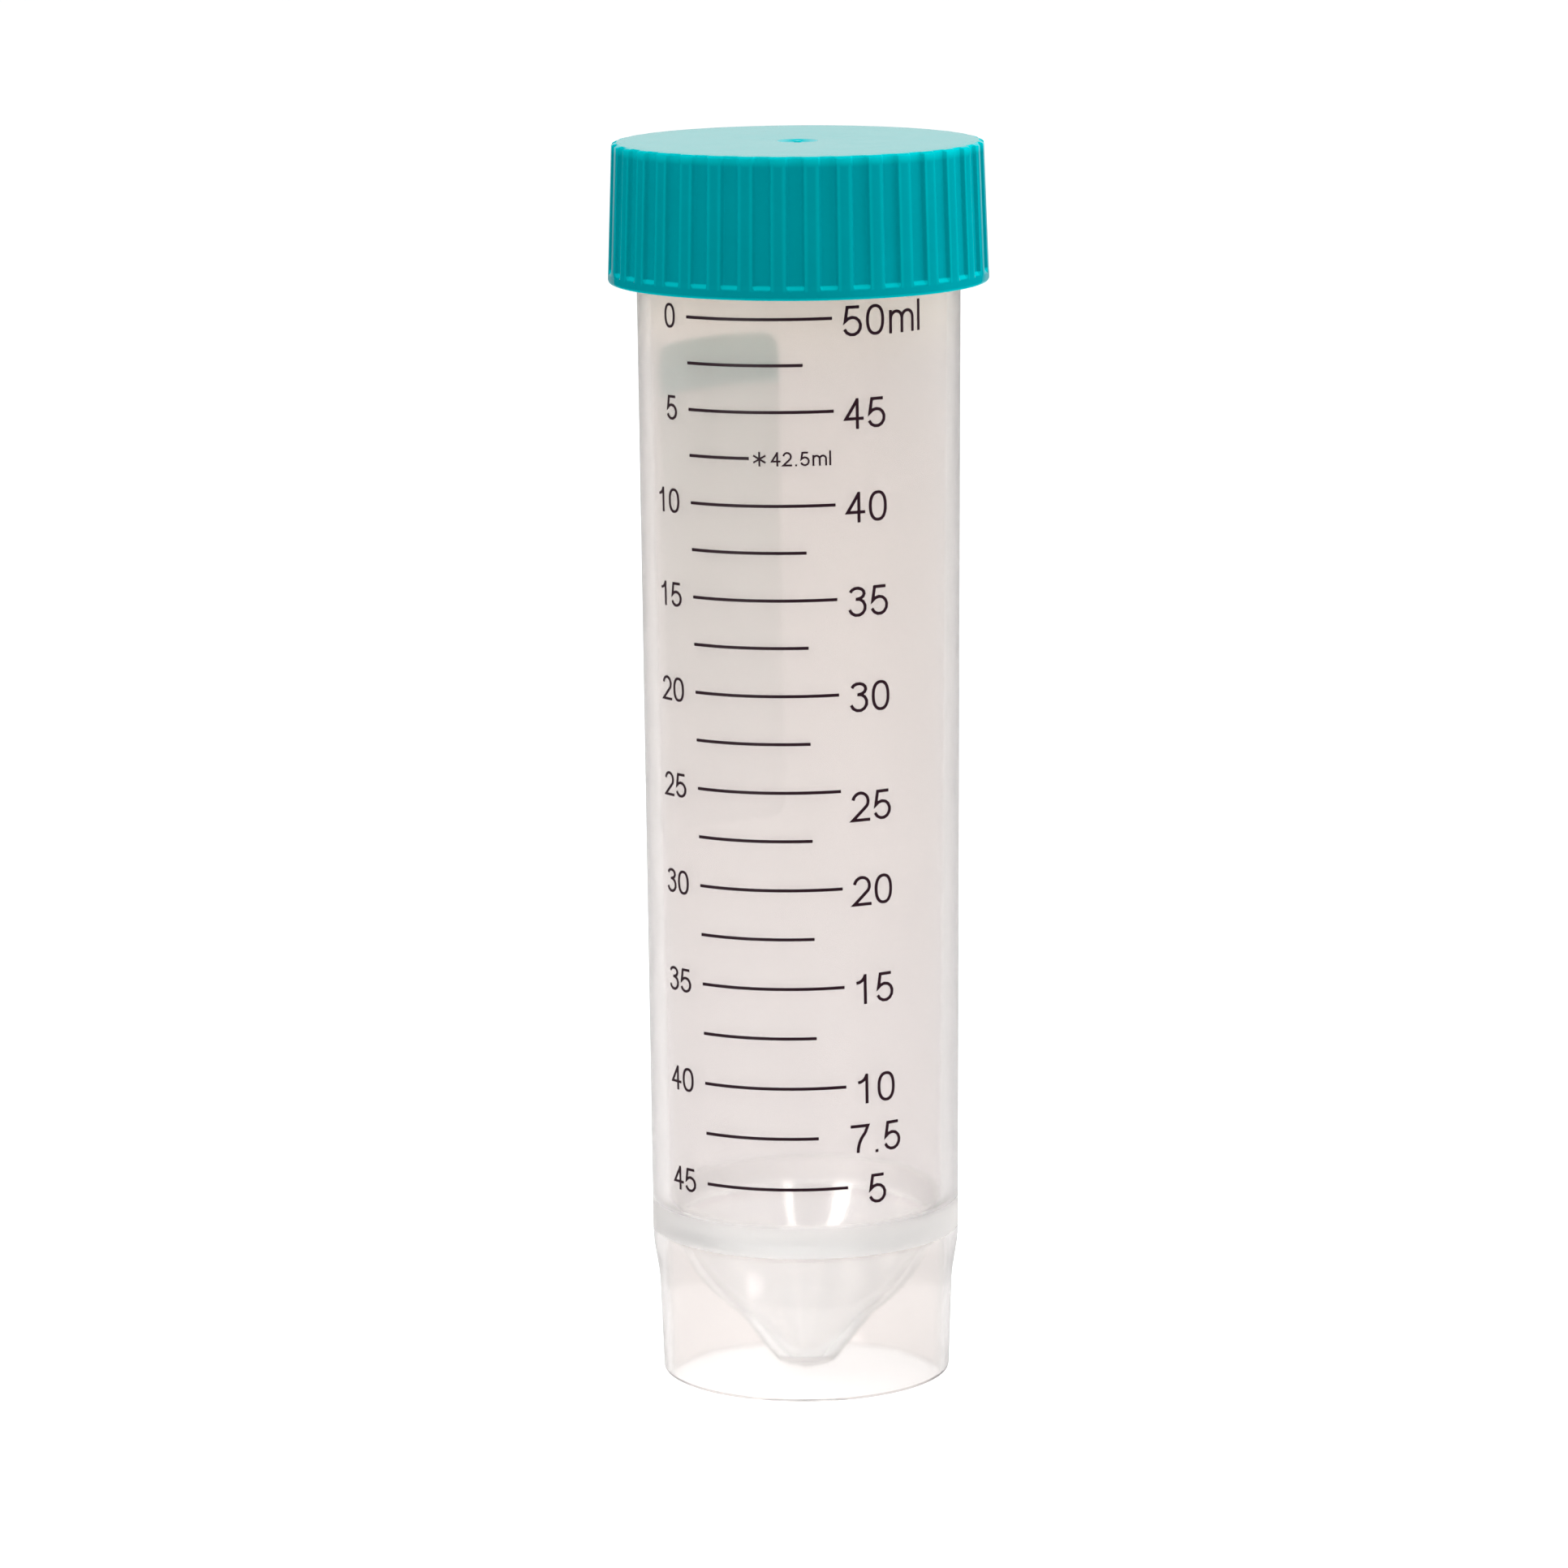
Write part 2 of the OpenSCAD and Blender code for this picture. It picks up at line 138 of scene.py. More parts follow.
# Scales of the patterns, in blotches a metre
MILK_CLOUDS = 90
HAZE_SPOTS = 240
DYE_CLOUDS = 140
CAP_SPOTS = 420
INK_SPOTS = 900
FILM_SPOTS = 2400
# Scale, detail, strength and depth of each surface's grain
TUBE_GRAIN = (5200, 2, 0.08, 0.02 * MM)
CAP_GRAIN = (3600, 3, 0.16, 0.03 * MM)
FILM_GRAIN = (6500, 2, 0.15, 0.01 * MM)

# Name, place, width, height, lean in degrees and power in watts of the lamps that make streaks
STRIPS = (
    ("left_strip", (-0.52, -0.495, 0.485), 0.22, 0.82, 14, 40.0),
    ("right_strip", (0.27, -0.59, 0.76), 0.12, 0.5, -10, 10.0))
# Name, place, width, height and power in watts of the soft lamps, and whether they mirror
SOFTBOXES = (
    ("front_softbox", (0, -0.62, 0.52), 1.0, 0.3, 0.9, True),
    ("top_softbox", (0, -0.1, 1.0), 0.6, 0.6, 3.6, True),
    ("right_softbox", (0.9, 0.12, 0.3), 0.9, 0.7, 7.2, False),
    ("left_softbox", (-0.85, 0.1, 0.3), 0.5, 0.7, 1.6, False))
FLOOR_HALF = 3.0


# ---------------------------------------------------------------- settings

def length(name, description, millimetres):
    """A length that the panel shows in the scene's unit."""
    return FloatProperty(name=name, description=description, default=millimetres * MM,
                         min=0, precision=5, unit="LENGTH")


def turn(name, description, degrees):
    """An angle that the panel shows in degrees."""
    return FloatProperty(name=name, description=description, default=math.radians(degrees),
                         subtype="ANGLE")


def colour(name, description, red, green, blue):
    """A linear colour."""
    return FloatVectorProperty(name=name, description=description, default=(red, green, blue),
                               size=3, min=0, max=1, subtype="COLOR")


def share(name, description, default):
    """A number from 0 to 1."""
    return FloatProperty(name=name, description=description, default=default,
                         min=0, max=1, subtype="FACTOR")


class TubeSizes(bpy.types.PropertyGroup):
    """Sizes of the moulded tube."""
    rim_d: length("Rim diameter", "Outside diameter at the rim", 29.82)
    body_d: length("Body diameter", "Outside diameter just above the shoulder", 28.64)
    rim_wall: length("Rim wall", "Thickness of the wall at the rim", 0.92)
    root_wall: length("Root wall", "Thickness of the wall where the bore meets the cone", 1.5)
    cone_top: length("Cone top", "Height at which the bore ends and the cone starts", 16.1)
    cone_angle: turn("Cone angle", "Angle between the cone's wall and the axis", 38.7)
    cone_wall: length("Cone wall", "Thickness of the cone's wall", 1.3)
    point_r: length("Point radius", "Radius of the blunt point inside the cone", 1.8)
    point_round: length("Point rounding", "Rounding of the cone's point outside", 1.6)
    gate_r: length("Gate radius", "Radius of the moulding gate's spot", 0.8)
    gate_h: length("Gate height", "Height of the moulding gate's spot", 0.3)
    edge_r: length("Edge rounding", "Rounding of the foot and the rim", 0.3)
    point_in_r: length("Point rounding inside", "Rounding of the cone's flat point inside", 0.45)
    join_r: length("Join rounding", "Rounding where the cone meets the skirt", 0.12)
    mouth_r: length("Mouth rounding", "Rounding where the bore runs into the cone", 4.3)
    foot_inset: length("Foot inset", "How far the skirt's foot stands in from the body", 0.92)
    skirt_inset: length("Skirt inset", "How far the skirt's top stands in from the body", 0.62)
    skirt_wall: length("Skirt wall", "Thickness of the skirt", 1.1)
    shoulder_low: length("Shoulder foot", "Height where the skirt starts to swell", 8)
    shoulder_high: length("Shoulder top", "Height where the shoulder reaches the body", 13.5)
    thread_pitch: length("Thread pitch", "Rise of the neck thread in one turn", 3.6)
    thread_turns: FloatProperty(name="Thread turns", description="Turns of the neck thread",
                                default=1.5, min=0.5, max=3)
    thread_depth: length("Thread depth", "How far the thread stands out from the neck", 0.7)
    thread_crest: length("Thread crest", "Width of the thread at its crest", 0.8)
    thread_root: length("Thread root", "Width of the thread where it meets the wall", 1.7)
    thread_drop: length("Thread drop", "From the rim down to the thread's upper end", 3.2)
    weld: length("Weld", "How deep a joined form reaches into its carrier", 0.2)
    columns: IntProperty(name="Columns", description="Faces round the tube", default=256, min=24)


class CapSizes(bpy.types.PropertyGroup):
    """Sizes of the moulded cap."""
    hem_wall: length("Hem wall", "Thickness of the wall at the hem", 1.66)
    top_wall: length("Top wall", "Thickness of the wall at the top, through a rib", 1.2)
    plate: length("Plate", "Thickness of the top plate", 1.3)
    hem_h: length("Hem height", "Height of the plain band below the grooves", 0.85)
    edge_r: length("Top rounding", "Rounding of the top edge", 0.25)
    # Painted light: the top edge is coloured lighter down this far, as if lit from above
    painted_top_light_depth: length("Edge light", "How far down the side the top edge looks lighter", 0.95)
    rib_count: IntProperty(name="Ribs", description="Number of grip ribs", default=36, min=6)
    rib_turn: turn("Rib turn", "Angle from the front to the middle of a rib", 4)
    rib_w: length("Rib width", "Width of one grip rib", 1.55)
    rib_round: length("Rib rounding", "Rounding of a rib's edges", 0.13)
    groove_depth: length("Groove depth", "Depth of the grooves between the ribs", 0.36)
    dish_r: length("Dish radius", "Radius of the dish round the moulding gate", 1.9)
    dish_depth: length("Dish depth", "Depth of that dish", 0.18)
    nub_r: length("Nub radius", "Radius of the gate's nub", 0.35)
    seal_h: length("Seal height", "Length of the ring that plugs the bore", 3.2)
    seal_wall: length("Seal wall", "Thickness of the seal ring", 0.9)
    seal_gap: length("Seal gap", "Gap between the seal ring and the bore", 0.12)
    rim_gap: length("Rim gap", "Gap between the tube's rim and the plate", 0.1)
    thread_gap: length("Thread gap", "Gap between the neck thread's crest and the cap", 0.23)
    thread_depth: length("Thread depth", "How far the cap's thread stands in", 0.6)
    thread_turns: FloatProperty(name="Thread turns", description="Turns of the cap's thread",
                                default=1.35, min=0.5, max=3)


class PrintSizes(bpy.types.PropertyGroup):
    """Sizes of the writing panel on the back."""
    ink: length("Ink", "Thickness of the ink", 0.05)
    patch_turn: turn("Panel turn", "Angle from the front round to the panel's middle", 221)
    patch_w: length("Panel width", "Width of the panel, round the wall", 17)
    patch_drop: length("Panel drop", "From the cap's hem down to the panel", 7.1)
    patch_h: length("Panel height", "Height of the panel", 46)
    band_h: length("Band height", "Height of the solid band at the panel's head", 4.7)
    corner: length("Corner", "Rounding of the panel's corners", 1.5)


class Finishes(bpy.types.PropertyGroup):
    """Colours and gloss of the plastics and inks."""
    natural: colour("Natural plastic", "Tint of the translucent wall at the neck",
                    0.80, 0.755, 0.727)
    # Painted light: a lighter, warmer tint for the wall under the cap, which lifts the shade that
    # the cap casts there
    natural_neck_painted_light: colour("Natural plastic, neck", "Tint of the wall close to the cap",
                         0.87, 0.81, 0.75)
    natural_low: colour("Natural plastic, low", "Tint of the wall at its foot", 0.84, 0.805, 0.795)
    clearness: share("Clearness", "Share of light that passes the wall unscattered", 0.86)
    skirt: colour("Skirt", "Tint of the thinner skirt", 0.935, 0.90, 0.885)
    cone: colour("Cone", "Tint of the thin cone", 0.985, 1.0, 1.0)
    foot_clearness: share("Foot clearness", "Clearness of the skirt", 0.93)
    cone_clearness: share("Cone clearness", "Clearness of the cone", 0.92)
    milk: colour("Milk", "Tint of the cone's rounded mouth", 1.0, 0.985, 0.97)
    mouth_clearness: share("Mouth clearness", "Clearness of that mouth", 0.92)
    ring: colour("Ring", "Tint of the thick ring where cone, wall and skirt meet",
                 0.93, 0.905, 0.885)
    ring_clearness: share("Ring clearness", "Clearness of that ring", 0.5)
    mouth_haze: share("Mouth haze", "Roughness of the cone's mouth", 0.55)
    ring_haze: share("Ring haze", "Roughness of the ring, which stands for its depth of milk", 0.65)
    haze: share("Haze", "Roughness of the tube's surface", 0.11)
    clouds: share("Clouds", "How far the wall's tint strays towards milk", 0.06)
    cone_smoothness: share("Cone smoothness", "Share of the haze that the cone loses", 0.8)
    polish: share("Polish", "Roughness of the polished face inside the cone", 0.02)
    mouth_polish: share("Mouth polish", "Roughness of the polish on the cone's mouth", 0.5)
    teal: colour("Cap", "Colour of the cap's ribs", 0.0, 0.27, 0.317)
    # Lighter teal of the painted highlights on the edges, which the dye clouds also stray towards
    teal_highlight_and_dye: colour("Cap edge", "Colour of the edges that light gets into", 0.0, 0.575, 0.62)
    # Painted light: the top is a much lighter teal than the side, as a face lit from above
    teal_top_painted_light: colour("Cap top", "Colour of the cap's smoother top", 0.0, 0.48, 0.48)
    teal_shine: colour("Cap shine", "Tint of the cap's gloss", 0.0, 0.9, 1.0)
    # Strengths of the painted highlights on the ribs' corners and the grooves' ledges
    corner_painted_highlight: share("Corner light", "How far the ribs' corners turn to the edge colour", 0.24)
    ledge_painted_light: share("Ledge light", "How far the grooves' ends turn to the edge colour", 0.75)
    dye_clouds: share("Dye clouds", "How far the dye strays towards the edge colour", 0.12)
    side_shine: share("Side shine", "Gloss of the cap's side where it is seen edge-on", 0.25)
    top_shine: share("Top shine", "Gloss of the cap's top", 0.5)
    side_roughness: share("Cap side", "Roughness of the cap's grained side", 0.3)
    top_roughness: share("Cap top gloss", "Roughness of the cap's top", 0.17)
    ink: colour("Scale ink", "Colour of the printed scale", 0.020, 0.006, 0.011)
    ink_roughness: share("Scale roughness", "Roughness of the printed scale", 0.42)
    band: colour("Band ink", "Colour of the writing panel's band", 0.55, 0.80, 0.785)
    band_roughness: share("Band roughness", "Roughness of the band's ink", 0.4)
    band_clearness: share("Band clearness", "Share of light that passes the band's ink", 0.75)
    # The frosting's own tint under the band, darkened there as painted shade; it runs to the
    # unshaded colour at its foot
    panel: colour("Panel", "Colour of the writing panel under its band", 0.70, 0.755, 0.73)
    panel_unshaded_foot: colour("Panel, low", "Colour of the writing panel at its lower end", 1.0, 1.0, 1.0)
    frost: share("Frost", "Roughness of the writing panel", 0.5)
    panel_clearness: share("Panel clearness",
                           "Share of light that passes the panel's frosting", 0.96)


class StageSettings(bpy.types.PropertyGroup):
    """Camera, floor and lamps."""
    distance: length("Camera distance", "From the tube's axis, level with the floor", 608.28)
    height: length("Camera height", "Above the floor", 168.27)
    pitch: turn("Pitch", "How far the camera looks down", 10.486)
    yaw: turn("Yaw", "How far the camera turns left", 0.1606)
    roll: turn("Roll", "How far the camera leans", -0.4587)
    lens: FloatProperty(name="Lens", description="Focal length on a 36 mm sensor", default=152.89,
                        min=10, unit="CAMERA")
    daylight: share("Daylight", "Strength of the surroundings as a light", 0.46)
    mirrored: share("Mirrored", "Strength of the surroundings in a reflection", 0.83)
    floor: share("Floor", "Grey of the floor as the lamps light it", 0.82)
    floor_mirrored: share("Floor, mirrored", "Grey of the floor in a reflection", 0.75)
    floor_through: share("Floor, through plastic", "Grey of the floor behind clear plastic", 0.2)
    glow: share("Glow", "What makes the floor white to the camera", 0.6)
    glow_through: share("Glow, through plastic",
                        "What makes the floor white behind clear plastic", 0.9)


class ConicalTube(bpy.types.PropertyGroup):
    """All settings of the tube."""
    tube: PointerProperty(type=TubeSizes)
    cap: PointerProperty(type=CapSizes)
    print: PointerProperty(type=PrintSizes)
    finish: PointerProperty(type=Finishes)
    stage: PointerProperty(type=StageSettings)


# ---------------------------------------------------------------- forms

class TubeForm:
    """Radii and heights that follow from the tube's sizes."""

    def __init__(self, sizes):
        self.s = sizes
        self.mean_r = (sizes.rim_d + sizes.body_d) / 4
        self.taper = (sizes.rim_d - sizes.body_d) / 2 / (RIM_Z - sizes.shoulder_high)
        self.bore_root = self.neck(sizes.cone_top) - sizes.root_wall
        self.bore_taper = ((self.neck(RIM_Z) - sizes.rim_wall - self.bore_root)
                           / (RIM_Z - sizes.cone_top))
        self.cone_slope = math.tan(sizes.cone_angle)
        self.point_z = sizes.cone_top - (self.bore_root - sizes.point_r) / self.cone_slope
        self.base_z = self.point_z - sizes.cone_wall
        self.foot_r = sizes.body_d / 2 - sizes.foot_inset
        self.skirt_slope = (sizes.foot_inset - sizes.skirt_inset) / sizes.shoulder_low
        self.inner_foot = self.foot_r - sizes.skirt_wall
        self.join_z = (self.inner_foot - self.cone(0)) / (self.cone_slope - self.skirt_slope)
        self.thread_top = RIM_Z - sizes.thread_drop
        self.thread_low = self.thread_top - sizes.thread_pitch * sizes.thread_turns

    def neck(self, z):
        """Outside radius of the body at height z."""
        return self.s.body_d / 2 + self.taper * (z - self.s.shoulder_high)

    def bore(self, z):
        """Inside radius above the cone."""
        return self.bore_root + self.bore_taper * (z - self.s.cone_top)

    def cone(self, z):
        """Outside radius of the cone."""
        return (self.s.point_r + (z - self.point_z) * self.cone_slope
                + self.s.cone_wall / math.cos(self.s.cone_angle))

    def skirt(self, z):
        """Outside radius of the skirt."""
        return self.foot_r + self.skirt_slope * z

    def shoulder(self, t):
        """Point of the swell from the skirt to the body, at share t of its height."""
        s = self.s
        z = s.shoulder_low + (s.shoulder_high - s.shoulder_low) * t
        swell = t * t * (3 - 2 * t)
        return self.skirt(s.shoulder_low) * (1 - swell) + self.neck(z) * swell, z


class CapForm:
    """Radii and heights that follow from the cap's sizes and the tube's form."""

    def __init__(self, sizes, tube):
        self.s = sizes
        self.bore_r = tube.neck(tube.thread_top) + tube.s.thread_depth + sizes.thread_gap
        self.hem_top = CAP_BOTTOM + sizes.hem_h
        self.ledge_top = self.hem_top + sizes.groove_depth * LEDGE_RISE
        self.under = CAP_TOP - sizes.plate
        self.seal_low = RIM_Z + sizes.rim_gap - sizes.seal_h
        self.seal_r = tube.bore(self.seal_low) - sizes.seal_gap

    def side(self, z):
        """Outside radius over the ribs at height z."""
        up = (z - CAP_BOTTOM) / (CAP_TOP - CAP_BOTTOM)
        return self.bore_r + self.s.hem_wall + (self.s.top_wall - self.s.hem_wall) * up


def rounded(corners, steps=5):
    """Outline through corners (x, z, radius), each rounded by an arc of that radius."""
    points = []
    for i, (x, z, radius) in enumerate(corners):
        here = Vector((x, z))
        if radius == 0:
            points.append(here)
            continue
        back = Vector(corners[i - 1][:2]) - here
        ahead = Vector(corners[i + 1][:2]) - here
        half = back.angle(ahead) / 2
        reach = radius / math.tan(half)
        middle = (back.normalized() + ahead.normalized()).normalized()
        centre = here + middle * radius / math.sin(half)
        first = here + back.normalized() * reach - centre
        last = here + ahead.normalized() * reach - centre
        swing = math.atan2(first.x * last.y - first.y * last.x, first.dot(last))
        for k in range(steps + 1):
            points.append(centre + Matrix.Rotation(swing * k / steps, 2) @ first)
    return points


# ---------------------------------------------------------------- node building

class Nodes:
    """Adds nodes to a tree and links their inputs in one call."""

    def __init__(self, tree):
        self.tree = tree

    def add(self, kind, inputs=(), **settings):
        """A node of that kind, with settings on the node and values or links on its inputs."""
        node = self.tree.nodes.new(kind)
        for name, value in settings.items():
            setattr(node, name, value)
        self.feed(node, inputs)
        return node

    def feed(self, node, inputs):
        """Links the node's inputs to sockets, or sets them to plain values."""
        for key, value in dict(inputs).items():
            if isinstance(value, bpy.types.NodeSocket):
                self.tree.links.new(value, node.inputs[key])
            else:
                node.inputs[key].default_value = value

    def math(self, operation, a, b=0.0, c=0.0, clamp=False):
        """The result of a Math node."""
        return self.add("ShaderNodeMath", {0: a, 1: b, 2: c}, operation=operation,
                        use_clamp=clamp).outputs[0]

    def product(self, first, *others):
        """The product of several numbers."""
        for other in others:
            first = self.math("MULTIPLY", first, other)
        return first


def new_tree(name, inputs):
    """A Geometry Nodes tree with a geometry in and out and the named inputs (name, type)."""
    tree = bpy.data.node_groups.new(name, "GeometryNodeTree")
    for label, kind in [("Geometry", "NodeSocketGeometry"), *inputs]:
        tree.interface.new_socket(label, in_out="INPUT", socket_type=kind)
    tree.interface.new_socket("Geometry", in_out="OUTPUT", socket_type="NodeSocketGeometry")
    return tree


def finish_tree(n, source, geometry):
    """Merges, realizes and paints the geometry, and hands it to the tree's output."""
    merged = n.add("GeometryNodeMergeByDistance", {"Geometry": geometry, "Distance": UM})
    real = n.add("GeometryNodeRealizeInstances", {"Geometry": merged.outputs[0]})
    painted = n.add("GeometryNodeSetMaterial",
                    {"Geometry": real.outputs[0], "Material": source.outputs["Material"]})
    n.add("NodeGroupOutput", {"Geometry": painted.outputs[0]})


def turned_tree():
    """Tree that turns a section of points in the XZ plane round the Z axis.

    With a rise it climbs as a thread. Over its run-out columns, each end of the turn grows from
    the section's first point to the whole section."""
    tree = new_tree("Turned section", [
        ("Columns", "NodeSocketInt"), ("Start", "NodeSocketFloat"), ("Turns", "NodeSocketFloat"),
        ("Rise", "NodeSocketFloat"), ("Slope", "NodeSocketFloat"), ("Run out", "NodeSocketInt"),
        ("Material", "NodeSocketMaterial")])
    n = Nodes(tree)
    source = n.add("NodeGroupInput")
    columns = source.outputs["Columns"]
    rows = n.add("GeometryNodeAttributeDomainSize", {"Geometry": source.outputs["Geometry"]})
    count = rows.outputs["Point Count"]
    grid = n.add("GeometryNodeMeshGrid",
                 {"Vertices X": n.math("ADD", columns, 1.0), "Vertices Y": count})
    index = n.add("GeometryNodeInputIndex").outputs[0]
    column = n.math("FLOOR", n.math("DIVIDE", n.math("ADD", index, 0.5), count))
    row = n.math("SUBTRACT", index, n.math("MULTIPLY", column, count))
    place = n.add("GeometryNodeInputPosition").outputs[0]

    def sample(which):
        """The section's point of that number."""
        return n.add("GeometryNodeSampleIndex", {
            "Geometry": source.outputs["Geometry"], "Value": place, "Index": which},
            data_type="FLOAT_VECTOR").outputs[0]

    from_end = n.math("MINIMUM", column, n.math("SUBTRACT", columns, column))
    run_out = source.outputs["Run out"]
    grown = n.math("DIVIDE", from_end, n.math("MAXIMUM", run_out, 1.0), clamp=True)
    grow = n.math("MAXIMUM", grown, n.math("LESS_THAN", run_out, 0.5))
    mixed = n.add("ShaderNodeMix", {"Factor": grow, 4: sample(0), 5: sample(row)},
                  data_type="VECTOR")
    along = n.math("DIVIDE", column, columns)
    rise = n.math("MULTIPLY", source.outputs["Rise"], along)
    out = n.math("MULTIPLY", source.outputs["Slope"], rise)
    climb = n.add("ShaderNodeCombineXYZ", {"X": out, "Z": rise})
    lifted = n.add("ShaderNodeVectorMath", {0: mixed.outputs[1], 1: climb.outputs[0]},
                   operation="ADD")
    swing = n.product(source.outputs["Turns"], along, math.tau)
    angle = n.math("ADD", swing, source.outputs["Start"])
    turned = n.add("ShaderNodeVectorRotate", {"Vector": lifted.outputs[0], "Angle": angle},
                   rotation_type="Z_AXIS")
    shaped = n.add("GeometryNodeSetPosition",
                   {"Geometry": grid.outputs[0], "Position": turned.outputs[0]})
    finish_tree(n, source, shaped.outputs[0])
    return tree


def ring_tree():
    """Tree that repeats a slice round the Z axis and welds the copies into one skin."""
    tree = new_tree("Ring of copies", [
        ("Count", "NodeSocketInt"), ("Start", "NodeSocketFloat"),
        ("Material", "NodeSocketMaterial")])
    n = Nodes(tree)
    source = n.add("NodeGroupInput")
    count = source.outputs["Count"]
    points = n.add("GeometryNodePoints", {"Count": count})
    index = n.add("GeometryNodeInputIndex").outputs[0]
    step = n.math("DIVIDE", math.tau, count)
    angle = n.math("MULTIPLY_ADD", index, step, source.outputs["Start"])
    spin = n.add("FunctionNodeAxisAngleToRotation", {"Axis": (0, 0, 1), "Angle": angle})
    copies = n.add("GeometryNodeInstanceOnPoints", {
        "Points": points.outputs[0], "Instance": source.outputs["Geometry"],
        "Rotation": spin.outputs[0]})
    real = n.add("GeometryNodeRealizeInstances", {"Geometry": copies.outputs[0]})
    finish_tree(n, source, real.outputs[0])
    return tree


def grown(name, mesh, tree, **values):
    """A new object whose mesh is what the tree makes of that mesh, with no modifier left."""
    mesh.materials.append(values["Material"])
    piece = bpy.data.objects.new(name, mesh)
    bpy.context.scene.collection.objects.link(piece)
    modifier = piece.modifiers.new(tree.name, "NODES")
    modifier.node_group = tree
    sockets = {s.name: s.identifier for s in tree.interface.items_tree
               if s.item_type == "SOCKET" and s.in_out == "INPUT"}
    for label, value in values.items():
        modifier[sockets[label.replace("_", " ")]] = value
    made = meshed(piece)
    piece.modifiers.remove(modifier)
    piece.data = made
    return piece


def section_mesh(points):
    """A mesh of points in the XZ plane, joined in order."""
    mesh = bpy.data.meshes.new("section")
    lines = [(i, i + 1) for i in range(len(points) - 1)]
    mesh.from_pydata([(p[0], 0, p[1]) for p in points], lines, [])
    return mesh


def meshed(piece):
    """A plain mesh of the piece as its modifiers make it."""
    mesh = bpy.data.meshes.new_from_object(
        piece.evaluated_get(bpy.context.evaluated_depsgraph_get()))
    mesh.name = piece.name
    return mesh


def joined(piece, tool):
    """Adds the closed form tool to the closed piece as one skin, and removes tool."""
    union = piece.modifiers.new("Union", "BOOLEAN")
    union.operation = "UNION"
    union.solver = "MANIFOLD"
    union.object = tool
    made = meshed(piece)
    piece.modifiers.remove(union)
    # The union leaves an empty second material slot
    material = next(m for m in made.materials if m)
    made.materials.clear()
    made.materials.append(material)
    made.polygons.foreach_set("material_index", [0] * len(made.polygons))
    piece.data = made
    bpy.data.objects.remove(tool)
    return piece


def smooth(piece):
    """Smooth shading with creases where faces meet at a sharp angle."""
    piece.data.shade_smooth()
    piece.data.set_sharp_from_angle(angle=CREASE)
    return piece


# ---------------------------------------------------------------- materials

def new_material(name):
    """A material, the tools to add nodes to it, and its Principled shader."""
    material = bpy.data.materials.new(name)
    material.use_nodes = True
    return material, Nodes(material.node_tree), material.node_tree.nodes["Principled BSDF"]


def noise(n, place, scale, detail, stretch=(1, 1, 1)):
    """Noise over the piece's own coordinates, as a value about 0.5."""
    mapped = n.add("ShaderNodeMapping", {"Vector": place, "Scale": stretch})
    return n.add("ShaderNodeTexNoise", {
        "Vector": mapped.outputs[0], "Scale": scale, "Detail": detail}).outputs[0]


def between(n, factor, low, high):
    """A number that goes from low to high with the factor."""
    return n.add("ShaderNodeMapRange", {"Value": factor, "To Min": low, "To Max": high}).outputs[0]


def blend(n, factor, first, second):
    """A number between two others."""
    return n.add("ShaderNodeMix", {"Factor": factor, 2: first, 3: second},
                 data_type="FLOAT").outputs[0]


def blend_colours(n, factor, first, second):
    """A colour between two others."""
    first, second = (c if isinstance(c, bpy.types.NodeSocket) else (*c, 1)
                     for c in (first, second))
    return n.add("ShaderNodeMix", {"Factor": factor, 6: first, 7: second},
                 data_type="RGBA").outputs[2]


def grain(n, place, scale, detail, strength, depth):
    """A normal that is roughened by fine noise."""
    return n.add("ShaderNodeBump", {
        "Height": noise(n, place, scale, detail), "Strength": strength,
        "Distance": depth}).outputs[0]


def tint(base, gain):
    """The colour made lighter or darker."""
    return tuple(min(1.0, c * gain) for c in base)


def grey(level):
    """A colour with no hue."""
    return (level, level, level)


def ramp_straight(n, value, start, end):
    """A straight step from 0 at start to 1 at end."""
    return n.add("ShaderNodeMapRange", {
        "Value": value, "From Min": start, "From Max": end}).outputs[0]


def ramp_up(n, value, start, end):
    """A soft step from 0 at start to 1 at end."""
    return n.add("ShaderNodeMapRange", {"Value": value, "From Min": start, "From Max": end},
                 interpolation_type="SMOOTHSTEP").outputs[0]


def ramp_down(n, value, start, end):
    """A soft step from 1 at start to 0 at end."""
    return n.math("SUBTRACT", 1, ramp_up(n, value, start, end))


def own_place(n):
    """The shaded point in the piece's own coordinates."""
    return n.add("ShaderNodeTexCoord").outputs["Object"]


def axes(n, place):
    """The x, y and z of a place."""
    return n.add("ShaderNodeSeparateXYZ", {"Vector": place}).outputs


def from_axis(n, x, y):
    """Distance from the tube's axis."""
    return n.math("SQRT", n.math("ADD", n.math("MULTIPLY", x, x), n.math("MULTIPLY", y, y)))


def speckled(n, place, scale, value):
    """A value that varies a little from spot to spot."""
    return between(n, noise(n, place, scale, 2), value * (1 - SPECKLE), value * (1 + SPECKLE))


